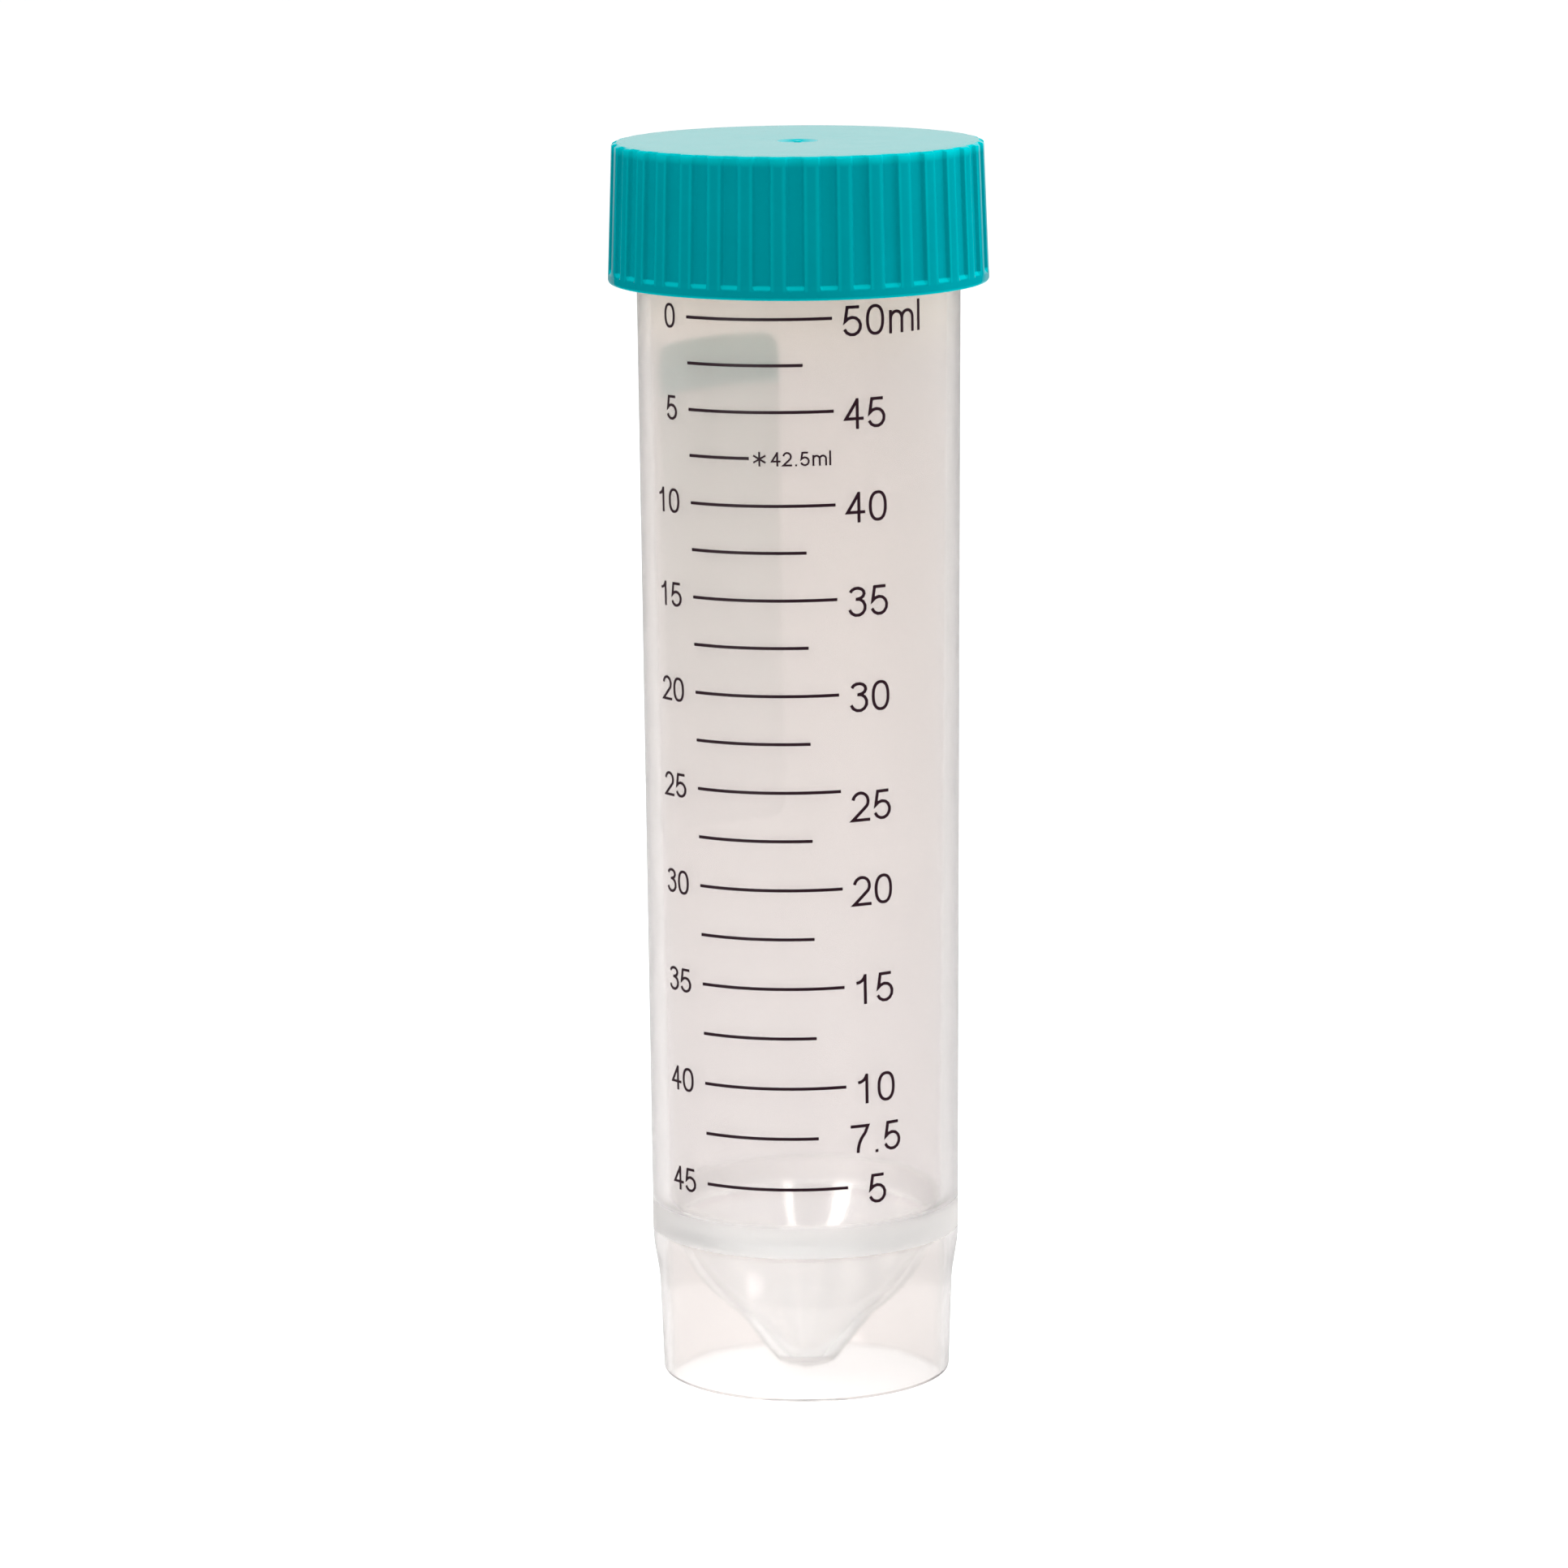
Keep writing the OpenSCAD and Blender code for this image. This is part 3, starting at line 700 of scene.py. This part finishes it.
def natural_plastic(finish, form):
    """Natural polypropylene: clear where it is thin, milky where cone, wall and skirt meet, with
    painted light on the wall under the cap.
    """
    material, n, shader = new_material("milky_polypropylene")
    place = own_place(n)
    x, y, height = axes(n, place)
    across = from_axis(n, x, y)
    seat = form.s.cone_top

    # Where each part of the moulding is
    outside = ramp_up(n, across, form.bore_root + BORE_NEAR, form.bore_root + BORE_FAR)
    mouth = n.product(ramp_up(n, height, seat + MOUTH_START, seat + MOUTH_FULL),
                      ramp_down(n, height, seat + MOUTH_FADE, seat + MOUTH_END),
                      n.math("SUBTRACT", 1, outside))
    ring = n.product(ramp_up(n, height, form.join_z - RING_ONSET, form.join_z),
                     ramp_down(n, height, seat + RING_FADE, seat + RING_END), outside)
    foot = ramp_down(n, height, seat + FOOT_FADE, seat + FOOT_END)
    cone = n.product(ramp_down(n, across, form.inner_foot - SKIRT_NEAR, form.inner_foot),
                     ramp_down(n, height, seat, seat + CONE_END))

    wall = blend_colours(n, ramp_up(n, height, seat, RIM_Z), finish.natural_low, finish.natural)
    # Painted light: towards the cap the wall turns to the lighter neck tint, against the cap's
    # shade
    wall = blend_colours(n, ramp_up(n, height, RIM_Z - NECK_BLEND, CAP_BOTTOM), wall,
                         finish.natural_neck_painted_light)
    cloud = noise(n, place, MILK_CLOUDS, 3, CLOUD_STRETCH)
    wall = blend_colours(n, between(n, cloud, 0, finish.clouds), wall, finish.milk)
    lower = blend_colours(n, cone, blend_colours(n, foot, wall, finish.skirt), finish.cone)
    lower = blend_colours(n, ring, lower, finish.ring)

    haze = speckled(n, place, HAZE_SPOTS, finish.haze)
    haze = n.math("MULTIPLY", haze,
                  n.math("SUBTRACT", 1, n.math("MULTIPLY", cone, finish.cone_smoothness)))
    haze = blend(n, mouth, blend(n, ring, haze, finish.ring_haze), finish.mouth_haze)

    clear = blend(n, foot, finish.clearness, finish.foot_clearness)
    clear = blend(n, ring, blend(n, cone, clear, finish.cone_clearness), finish.ring_clearness)
    clear = blend(n, mouth, clear, finish.mouth_clearness)

    # Only the face of the cone that looks up into the bore is polished
    out = n.math("SUBTRACT", across, n.math("MULTIPLY", height, form.cone_slope))
    half = form.s.cone_wall / math.cos(form.s.cone_angle) / 2
    middle = form.cone(0) - half
    face = ramp_down(n, out, middle - half * FACE_BLEND, middle + half * FACE_BLEND)

    n.feed(shader, {
        "Base Color": blend_colours(n, mouth, lower, finish.milk),
        "Roughness": haze,
        "Normal": grain(n, place, *TUBE_GRAIN),
        "IOR": PLASTIC_IOR,
        "Transmission Weight": clear,
        "Coat Weight": n.product(n.math("MAXIMUM", cone, mouth), face),
        "Coat Roughness": blend(n, mouth, finish.polish, finish.mouth_polish),
        "Coat IOR": COAT_IOR})
    return material


def cap_plastic(finish, form):
    """Dyed polyethylene with a smoother top, and with painted light on its top, its rims, its ribs'
    corners and the ledges that end its grooves.
    """
    material, n, shader = new_material("teal_polyethylene")
    place = own_place(n)
    x, y, height = axes(n, place)
    across = from_axis(n, x, y)
    s = form.s
    depth = s.groove_depth
    lean = (form.side(CAP_TOP) - form.side(CAP_BOTTOM)) / (CAP_TOP - CAP_BOTTOM)
    crest = n.math("ADD", n.math("MULTIPLY", height, lean), form.side(0))
    over_groove = n.math("SUBTRACT", across, n.math("SUBTRACT", crest, depth))
    rib = ramp_up(n, over_groove, depth * FLANK_LOW, depth * FLANK_HIGH)
    top = ramp_up(n, height, CAP_TOP + TOP_START, CAP_TOP + TOP_FULL)

    # Painted light: the top rim is lighter where light falls on it from above, and the lower lip,
    # the ribs' corners and the ledges that end the grooves carry painted highlights
    rims = n.math("ADD", ramp_down(n, height, CAP_BOTTOM, CAP_BOTTOM + LIP_LIGHT),
                  ramp_straight(n, height, CAP_TOP - s.painted_top_light_depth, CAP_TOP))
    angle = n.math("ADD", n.math("ARCTAN2", y, x), math.pi / 2 - s.rib_turn)
    from_rib = n.math("PINGPONG", angle, math.pi / s.rib_count)
    from_corner = n.math("SUBTRACT", from_rib, s.rib_w * CORNER_PLACE / form.side(0))
    corners = n.product(
        ramp_down(n, n.math("ABSOLUTE", from_corner), 0, CORNER_LIGHT / form.side(0)),
        rib, finish.corner_painted_highlight,
        ramp_up(n, height, form.hem_top - HEM_ROUND, form.hem_top + HEM_ROUND))
    ledges = n.product(
        ramp_up(n, height, form.hem_top, form.hem_top + LEDGE_FULL),
        ramp_down(n, height, form.ledge_top + LEDGE_FADE, form.ledge_top + LEDGE_END),
        finish.ledge_painted_light, ramp_down(n, over_groove, depth * FLANK_HIGH, depth))
    painted_highlights = n.math("MAXIMUM", n.math("MAXIMUM", rims, corners), ledges)

    # Painted light: the grooves take a lighter teal that lifts their shade
    side = blend_colours(n, rib, tint(finish.teal, GROOVE_PAINTED_LIGHT), finish.teal)
    side = blend_colours(n, painted_highlights, side, finish.teal_highlight_and_dye)
    dye = between(n, noise(n, place, DYE_CLOUDS, 4), 0, finish.dye_clouds)
    side = blend_colours(n, dye, side, finish.teal_highlight_and_dye)
    roughness = n.product(blend(n, top, finish.side_roughness, finish.top_roughness),
                          between(n, noise(n, place, CAP_SPOTS, 3), *CAP_SPECKLE))
    facing = n.add("ShaderNodeLayerWeight").outputs["Facing"]
    shine = n.math("MULTIPLY", ramp_up(n, facing, *SHINE_FACING), finish.side_shine)
    # Painted light: the top face takes the lighter top teal
    n.feed(shader, {
        "Base Color": blend_colours(n, top, side, finish.teal_top_painted_light),
        "Roughness": roughness,
        "Normal": grain(n, place, *CAP_GRAIN),
        "Specular IOR Level": blend(n, top, shine, finish.top_shine),
        "Specular Tint": (*finish.teal_shine, 1)})
    return material


def finish_print(n, shader, place, roughness, clearness):
    """Gives a printed film its grain, its low gloss and its clearness."""
    n.feed(shader, {
        "Roughness": speckled(n, place, FILM_SPOTS, roughness),
        "Normal": grain(n, place, *FILM_GRAIN),
        "Specular IOR Level": FILM_GLOSS,
        "Transmission Weight": clearness})


def ink(name, base, roughness, clearness=0.0):
    """Screen-printed ink, thin enough to vary a little in depth and to let some light through."""
    material, n, shader = new_material(name)
    place = own_place(n)
    depth = noise(n, place, INK_SPOTS, 3)
    n.feed(shader, {"Base Color": blend_colours(n, depth, tint(base, INK_THICK),
                                                tint(base, INK_THIN))})
    finish_print(n, shader, place, roughness, clearness)
    return material


def frost(name, base, pale, low, high, roughness, clearness):
    """Frosting to write on, with painted shade that darkens it towards its head, near the cap."""
    material, n, shader = new_material(name)
    place = own_place(n)
    height = axes(n, place)["Z"]
    # Painted shade: darker towards the head, nearer the cap, and paler towards the foot
    body = blend_colours(n, ramp_straight(n, height, low, high), pale, base)
    thin = between(n, noise(n, place, INK_SPOTS, 3), 0, FROST_THIN)
    n.feed(shader, {"Base Color": blend_colours(n, thin, body, pale), "IOR": FROST_IOR})
    finish_print(n, shader, place, roughness, clearness)
    return material


def paint(node, material):
    """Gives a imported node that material."""
    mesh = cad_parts[node].data
    mesh.materials.clear()
    mesh.materials.append(material)


# ---------------------------------------------------------------- pieces

def trapezoid(root_r, z, side, sizes, depth):
    """Closed section of a thread that stands out on side +1 or in on side -1 of root_r."""
    foot = root_r - side * sizes.weld
    crest = root_r + side * depth
    section = rounded([
        (foot, z, 0), (foot, z - sizes.thread_root / 2, 0),
        (crest, z - sizes.thread_crest / 2, THREAD_ROUND),
        (crest, z + sizes.thread_crest / 2, THREAD_ROUND),
        (foot, z + sizes.thread_root / 2, 0), (foot, z, 0)], 3)
    # Inside, the section runs the other way round, so that its faces still point outwards
    return section if side > 0 else section[:1] + section[-2:0:-1] + section[-1:]


class TUBE_OT_mould_tube(bpy.types.Operator):
    """Mould the tube: cone, skirt, body, rim and neck thread as one skin"""
    bl_idname = "conical_tube.mould_tube"
    bl_label = "Mould tube"

    def execute(self, context):
        settings = context.scene.conical_tube
        s = settings.tube
        form = TubeForm(s)
        material = natural_plastic(settings.finish, form)
        gate_z = form.base_z - s.gate_h
        under = rounded([
            (0, gate_z, 0), (s.gate_r, gate_z, GATE_ROUND), (s.gate_r, form.base_z, GATE_ROUND),
            (form.cone(form.base_z), form.base_z, s.point_round),
            (form.inner_foot + form.skirt_slope * form.join_z, form.join_z, s.join_r),
            (form.inner_foot, 0, s.edge_r * INNER_FOOT_ROUND), (form.foot_r, 0, s.edge_r),
            (form.skirt(s.shoulder_low / 2), s.shoulder_low / 2, 0)])
        swell = [Vector(form.shoulder(i / SWELL_STEPS)) for i in range(SWELL_STEPS + 1)]
        above = rounded([
            (form.neck(RIM_Z / 2), RIM_Z / 2, 0), (form.neck(RIM_Z), RIM_Z, s.edge_r),
            (form.bore(RIM_Z), RIM_Z, s.edge_r), (form.bore_root, s.cone_top, s.mouth_r),
            (s.point_r, form.point_z, s.point_in_r), (0, form.point_z, 0)], 8)
        tree = turned_tree()
        piece = grown("tube_shell", section_mesh(under + swell + above), tree,
                      Columns=s.columns, Turns=1.0, Material=material)
        section = trapezoid(form.neck(form.thread_low), form.thread_low, 1, s, s.thread_depth)
        thread = grown(
            "neck_thread", section_mesh(section), tree,
            Columns=int(THREAD_COLUMNS * s.thread_turns), Turns=s.thread_turns,
            Run_out=THREAD_RUN_OUT, Rise=s.thread_pitch * s.thread_turns, Slope=form.taper,
            Material=material)
        smooth(joined(piece, thread))
        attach(piece, "tube")
        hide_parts("tube")
        return {"FINISHED"}


def cap_section(form, s):
    """The cap's outline through a groove, each point with how far a rib stands out there."""
    groove_r = form.side(CAP_TOP) - s.groove_depth
    dish_z = CAP_TOP - s.dish_depth
    nub_z = dish_z + s.dish_depth * NUB_RISE
    top = rounded([
        (0, nub_z, 0), (s.nub_r, nub_z, NUB_ROUND), (s.nub_r, dish_z, NUB_ROUND),
        (s.dish_r / 2, dish_z, DISH_ROUND), (s.dish_r, CAP_TOP, s.dish_r * DISH_BLEND),
        (groove_r * PLATE_INNER, CAP_TOP, 0)])
    side = rounded([
        (groove_r * PLATE_OUTER, CAP_TOP, 0), (groove_r, CAP_TOP, s.edge_r),
        (form.side(form.ledge_top) - s.groove_depth, form.ledge_top, LEDGE_ROUND),
        (form.side(form.hem_top), form.hem_top, HEM_ROUND),
        (form.side(CAP_BOTTOM), CAP_BOTTOM, LIP_ROUND),
        (form.bore_r + 2 * LIP_ROUND, CAP_BOTTOM, 0)])
    seal_middle, seal_inside = form.seal_r - s.seal_wall / 2, form.seal_r - s.seal_wall
    bore = rounded([
        (form.bore_r, CAP_BOTTOM, LIP_ROUND), (form.bore_r, form.under, INSIDE_ROUND),
        (form.seal_r, form.under, SEAL_ROOT_ROUND),
        (form.seal_r, form.seal_low + s.seal_wall / 2, SEAL_SIDE_ROUND),
        (seal_middle, form.seal_low, SEAL_TIP_ROUND), (seal_inside, form.seal_low, SEAL_TIP_ROUND),
        (seal_inside, form.under, INSIDE_ROUND), (form.seal_r / 2, form.under, 0),
        (0, form.under, 0)])

    def rib_reach(p):
        """How far a rib stands out from the side's point p, none on the top and the hem."""
        if p.y <= form.hem_top - HEM_ROUND or p.x <= groove_r * RIB_INNER:
            return 0.0
        reach = min(s.groove_depth, max(0.0, form.side(p.y) - p.x))
        return reach * math.sqrt(min(1.0, max(0.0, CAP_TOP - p.y) / (s.edge_r * RIB_ROUND)))

    return [(p, 0.0) for p in top] + [(p, rib_reach(p)) for p in side] + [(p, 0.0) for p in bore]


def cap_slice(form, s):
    """One slice of the cap, a rib with half a groove on each side, as a mesh."""
    rows = cap_section(form, s)
    mid_r = form.side((CAP_BOTTOM + CAP_TOP) / 2)
    half = math.pi / s.rib_count * mid_r
    edge = s.rib_w / 2
    across = rounded([
        (-half, 0, 0), (-edge - RIB_SLANT, 0, s.rib_round),
        (-edge + RIB_SLANT, s.groove_depth, s.rib_round),
        (edge - RIB_SLANT, s.groove_depth, s.rib_round),
        (edge + RIB_SLANT, 0, s.rib_round), (half, 0, 0)], 3)
    verts = []
    for u in across:
        angle = u.x / mid_r
        for p, reach in rows:
            r = p.x + reach * u.y / s.groove_depth
            verts.append((r * math.cos(angle), r * math.sin(angle), p.y))
    count = len(rows)
    faces = [(i * count + j, i * count + j + 1, (i + 1) * count + j + 1, (i + 1) * count + j)
             for i in range(len(across) - 1) for j in range(count - 1)]
    mesh = bpy.data.meshes.new("cap_slice")
    mesh.from_pydata(verts, [], faces)
    return mesh


class TUBE_OT_mould_cap(bpy.types.Operator):
    """Mould the cap: ribbed side, gate dish, seal ring and inner thread as one skin"""
    bl_idname = "conical_tube.mould_cap"
    bl_label = "Mould cap"

    def execute(self, context):
        settings = context.scene.conical_tube
        s, t = settings.cap, settings.tube
        tube = TubeForm(t)
        form = CapForm(s, tube)
        material = cap_plastic(settings.finish, form)
        front = -math.pi / 2
        piece = grown("cap_shell", cap_slice(form, s), ring_tree(), Count=s.rib_count,
                      Start=front + s.rib_turn, Material=material)
        # The cap's thread lies midway between the turns of the neck's
        low = (tube.thread_low - t.thread_pitch / 2
               + t.thread_pitch * CAP_THREAD_START / math.tau)
        section = trapezoid(form.bore_r, low, -1, t, s.thread_depth)
        thread = grown(
            "cap_thread", section_mesh(section), turned_tree(),
            Columns=int(THREAD_COLUMNS * s.thread_turns), Start=CAP_THREAD_START,
            Turns=s.thread_turns, Rise=t.thread_pitch * s.thread_turns, Run_out=THREAD_RUN_OUT,
            Material=material)
        smooth(joined(piece, thread))
        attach(piece, "cap")
        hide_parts("cap")
        return {"FINISHED"}


class TUBE_OT_print_scale(bpy.types.Operator):
    """Ink the graduations and their figures"""
    bl_idname = "conical_tube.print_scale"
    bl_label = "Print scale"

    def execute(self, context):
        finish = context.scene.conical_tube.finish
        material = ink("scale_print", finish.ink, finish.ink_roughness)
        paint("scale_lines", material)
        paint("scale_figures", material)
        return {"FINISHED"}


def panel_heights(s):
    """Heights of the writing panel's foot, its band's lower edge and its head."""
    head = CAP_BOTTOM - s.patch_drop
    return head - s.patch_h, head - s.band_h, head


def wall_panel(name, form, s, low, high, material):
    """A film on the wall between two heights, as wide as the writing panel is there."""
    bottom, _, top = panel_heights(s)
    reach = form.neck((top + bottom) / 2) * math.sin(s.patch_w / (form.mean_r * 2))
    heights = {low + (high - low) * i / PANEL_ROWS for i in range(PANEL_ROWS + 1)}
    for i in range(PANEL_CORNER_STEPS + 1):
        inset = s.corner * (1 - math.cos(math.pi / 2 * i / PANEL_CORNER_STEPS))
        heights.update(z for z in (top - inset, bottom + inset) if low <= z <= high)

    flat = []
    for z in sorted(heights):
        into = max(0.0, s.corner - min(top - z, z - bottom))
        half = reach - s.corner + math.sqrt(max(0.0, s.corner ** 2 - into ** 2))
        flat += [(half * (2 * k / PANEL_COLUMNS - 1), z) for k in range(PANEL_COLUMNS + 1)]
    points = []
    for lift in (FILM_GAP * s.ink, s.ink):
        for x, z in flat:
            r = form.neck(z) + lift
            angle = s.patch_turn + math.asin(x / form.neck(z)) - math.pi / 2
            points.append((r * math.cos(angle), r * math.sin(angle), z))

    width, layer, rows = PANEL_COLUMNS + 1, len(flat), len(heights)
    faces = []
    for j in range(rows - 1):
        for k in range(PANEL_COLUMNS):
            a = j * width + k
            faces.append((a + width, a + width + 1, a + 1, a))
            faces.append((layer + a, layer + a + 1, layer + a + width + 1, layer + a + width))
    rim = (list(range(PANEL_COLUMNS)) + [j * width + PANEL_COLUMNS for j in range(rows - 1)]
           + [(rows - 1) * width + k for k in range(PANEL_COLUMNS, 0, -1)]
           + [j * width for j in range(rows - 1, 0, -1)])
    faces += [(a, b, layer + b, layer + a) for a, b in zip(rim, rim[1:] + rim[:1])]

    mesh = bpy.data.meshes.new(name)
    mesh.from_pydata(points, [], faces)
    mesh.materials.append(material)
    piece = bpy.data.objects.new(name, mesh)
    bpy.context.scene.collection.objects.link(piece)
    return smooth(piece)


class TUBE_OT_print_panel(bpy.types.Operator):
    """Print the writing panel and the solid band at its head"""
    bl_idname = "conical_tube.print_panel"
    bl_label = "Print writing panel"

    def execute(self, context):
        settings = context.scene.conical_tube
        s, finish = settings.print, settings.finish
        form = TubeForm(settings.tube)
        bottom, edge, top = panel_heights(s)
        band = ink("panel_band", finish.band, finish.band_roughness, finish.band_clearness)
        field = frost("panel_field", finish.panel, finish.panel_unshaded_foot, bottom, edge,
                      finish.frost, finish.panel_clearness)
        for name, low, high, node, slot, material in (
                ("panel_band", edge, top, "patch_band", "band_ink", band),
                ("panel_field", bottom, edge, "writing_patch", "patch_ink", field)):
            piece = wall_panel(name, form, s, low, high, material)
            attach(piece, "tube")
            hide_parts(node)
        return {"FINISHED"}


# ---------------------------------------------------------------- stage

def backdrop_strength(n, daylight, mirrored):
    """White straight to the camera and through clear plastic, dimmer as a light or in a mirror."""
    path = n.add("ShaderNodeLightPath")
    seen = n.math("MAXIMUM", path.outputs["Is Camera Ray"], path.outputs["Is Transmission Ray"])
    lighting = blend(n, path.outputs["Is Glossy Ray"], daylight, mirrored)
    return blend(n, seen, lighting, 1.0)


def floor_material(s):
    """Matt white that takes the object's shadow, bright through plastic and dim in a mirror."""
    material, n, shader = new_material("floor_white")
    path = n.add("ShaderNodeLightPath")
    through = path.outputs["Is Transmission Ray"]
    base = blend_colours(n, path.outputs["Is Glossy Ray"], grey(s.floor), grey(s.floor_mirrored))
    seen = n.math("MULTIPLY", path.outputs["Is Camera Ray"], s.glow)
    n.feed(shader, {
        "Base Color": blend_colours(n, through, base, grey(s.floor_through)),
        "Roughness": FLOOR_ROUGHNESS,
        "Specular IOR Level": FLOOR_GLOSS,
        "Emission Color": (1, 1, 1, 1),
        "Emission Strength": n.math("ADD", seen, n.math("MULTIPLY", through, s.glow_through))})
    return material


def softbox(name, place, aim, width, height, power):
    """A rectangular lamp that faces a point."""
    lamp = bpy.data.lights.new(name, "AREA")
    lamp.shape = "RECTANGLE"
    lamp.size, lamp.size_y = width, height
    lamp.energy = power
    holder = bpy.data.objects.new(name, lamp)
    holder.location = place
    holder.rotation_euler = (Vector(aim) - Vector(place)).to_track_quat("-Z", "Y").to_euler()
    bpy.context.scene.collection.objects.link(holder)
    return holder


class TUBE_OT_set_stage(bpy.types.Operator):
    """Set the camera, the white floor and surroundings, and the softboxes"""
    bl_idname = "conical_tube.set_stage"
    bl_label = "Set stage"

    def execute(self, context):
        s = context.scene.conical_tube.stage
        context.scene.view_settings.view_transform = "Standard"

        camera = bpy.data.cameras.new("camera")
        camera.lens = s.lens
        camera.sensor_width = 36
        holder = bpy.data.objects.new("camera", camera)
        holder.matrix_world = (
            Matrix.Translation((0, -s.distance, s.height)) @ Matrix.Rotation(s.yaw, 4, "Z")
            @ Matrix.Rotation(math.pi / 2 - s.pitch, 4, "X") @ Matrix.Rotation(s.roll, 4, "Z"))
        context.scene.collection.objects.link(holder)
        context.scene.camera = holder

        world = bpy.data.worlds.new("surroundings")
        world.use_nodes = True
        n = Nodes(world.node_tree)
        n.feed(world.node_tree.nodes["Background"], {
            "Color": (1, 1, 1, 1), "Strength": backdrop_strength(n, s.daylight, s.mirrored)})
        context.scene.world = world

        mesh = bpy.data.meshes.new("floor")
        corners = [(x * FLOOR_HALF, y * FLOOR_HALF, 0)
                   for x, y in ((-1, -1), (1, -1), (1, 1), (-1, 1))]
        mesh.from_pydata(corners, [], [(0, 1, 2, 3)])
        mesh.materials.append(floor_material(s))
        floor = bpy.data.objects.new("floor", mesh)
        context.scene.collection.objects.link(floor)

        aim = (0, 0, RIM_Z / 2)
        for name, place, width, height, lean, power in STRIPS:
            strip = softbox(name, place, aim, width, height, power)
            strip.rotation_euler = (strip.rotation_euler.to_quaternion()
                                    @ Quaternion((0, 0, 1), math.radians(lean))).to_euler()
            strip.visible_diffuse = False
        for name, place, width, height, power, mirrors in SOFTBOXES:
            lamp = softbox(name, place, aim, width, height, power)
            lamp.visible_glossy = lamp.visible_transmission = mirrors
        return {"FINISHED"}


class TUBE_PT_panel(bpy.types.Panel):
    """Sidebar panel of the conical tube"""
    bl_label = "Conical tube"
    bl_idname = "TUBE_PT_panel"
    bl_space_type = "VIEW_3D"
    bl_region_type = "UI"
    bl_category = "Conical tube"

    def draw(self, context):
        settings = context.scene.conical_tube
        for title, group in (("Tube", settings.tube), ("Cap", settings.cap),
                             ("Print", settings.print), ("Finish", settings.finish),
                             ("Stage", settings.stage)):
            box = self.layout.box()
            box.label(text=title)
            for name in group.__annotations__:
                box.prop(group, name)
        for operator in OPERATORS:
            self.layout.operator(operator.bl_idname)


GROUPS = (TubeSizes, CapSizes, PrintSizes, Finishes, StageSettings, ConicalTube)
OPERATORS = (TUBE_OT_set_stage, TUBE_OT_mould_tube, TUBE_OT_mould_cap, TUBE_OT_print_scale,
             TUBE_OT_print_panel)


def register():
    """Registers the classes and the settings on the scene."""
    for kind in (*GROUPS, *OPERATORS, TUBE_PT_panel):
        bpy.utils.register_class(kind)
    bpy.types.Scene.conical_tube = PointerProperty(type=ConicalTube)


def unregister():
    """Removes the settings and the classes."""
    del bpy.types.Scene.conical_tube
    for kind in reversed((*GROUPS, *OPERATORS, TUBE_PT_panel)):
        bpy.utils.unregister_class(kind)


def main():
    """Runs each operator in order."""
    register()
    bpy.ops.conical_tube.set_stage()
    bpy.ops.conical_tube.mould_tube()
    bpy.ops.conical_tube.mould_cap()
    bpy.ops.conical_tube.print_scale()
    bpy.ops.conical_tube.print_panel()


if __name__ == "__main__":
    main()
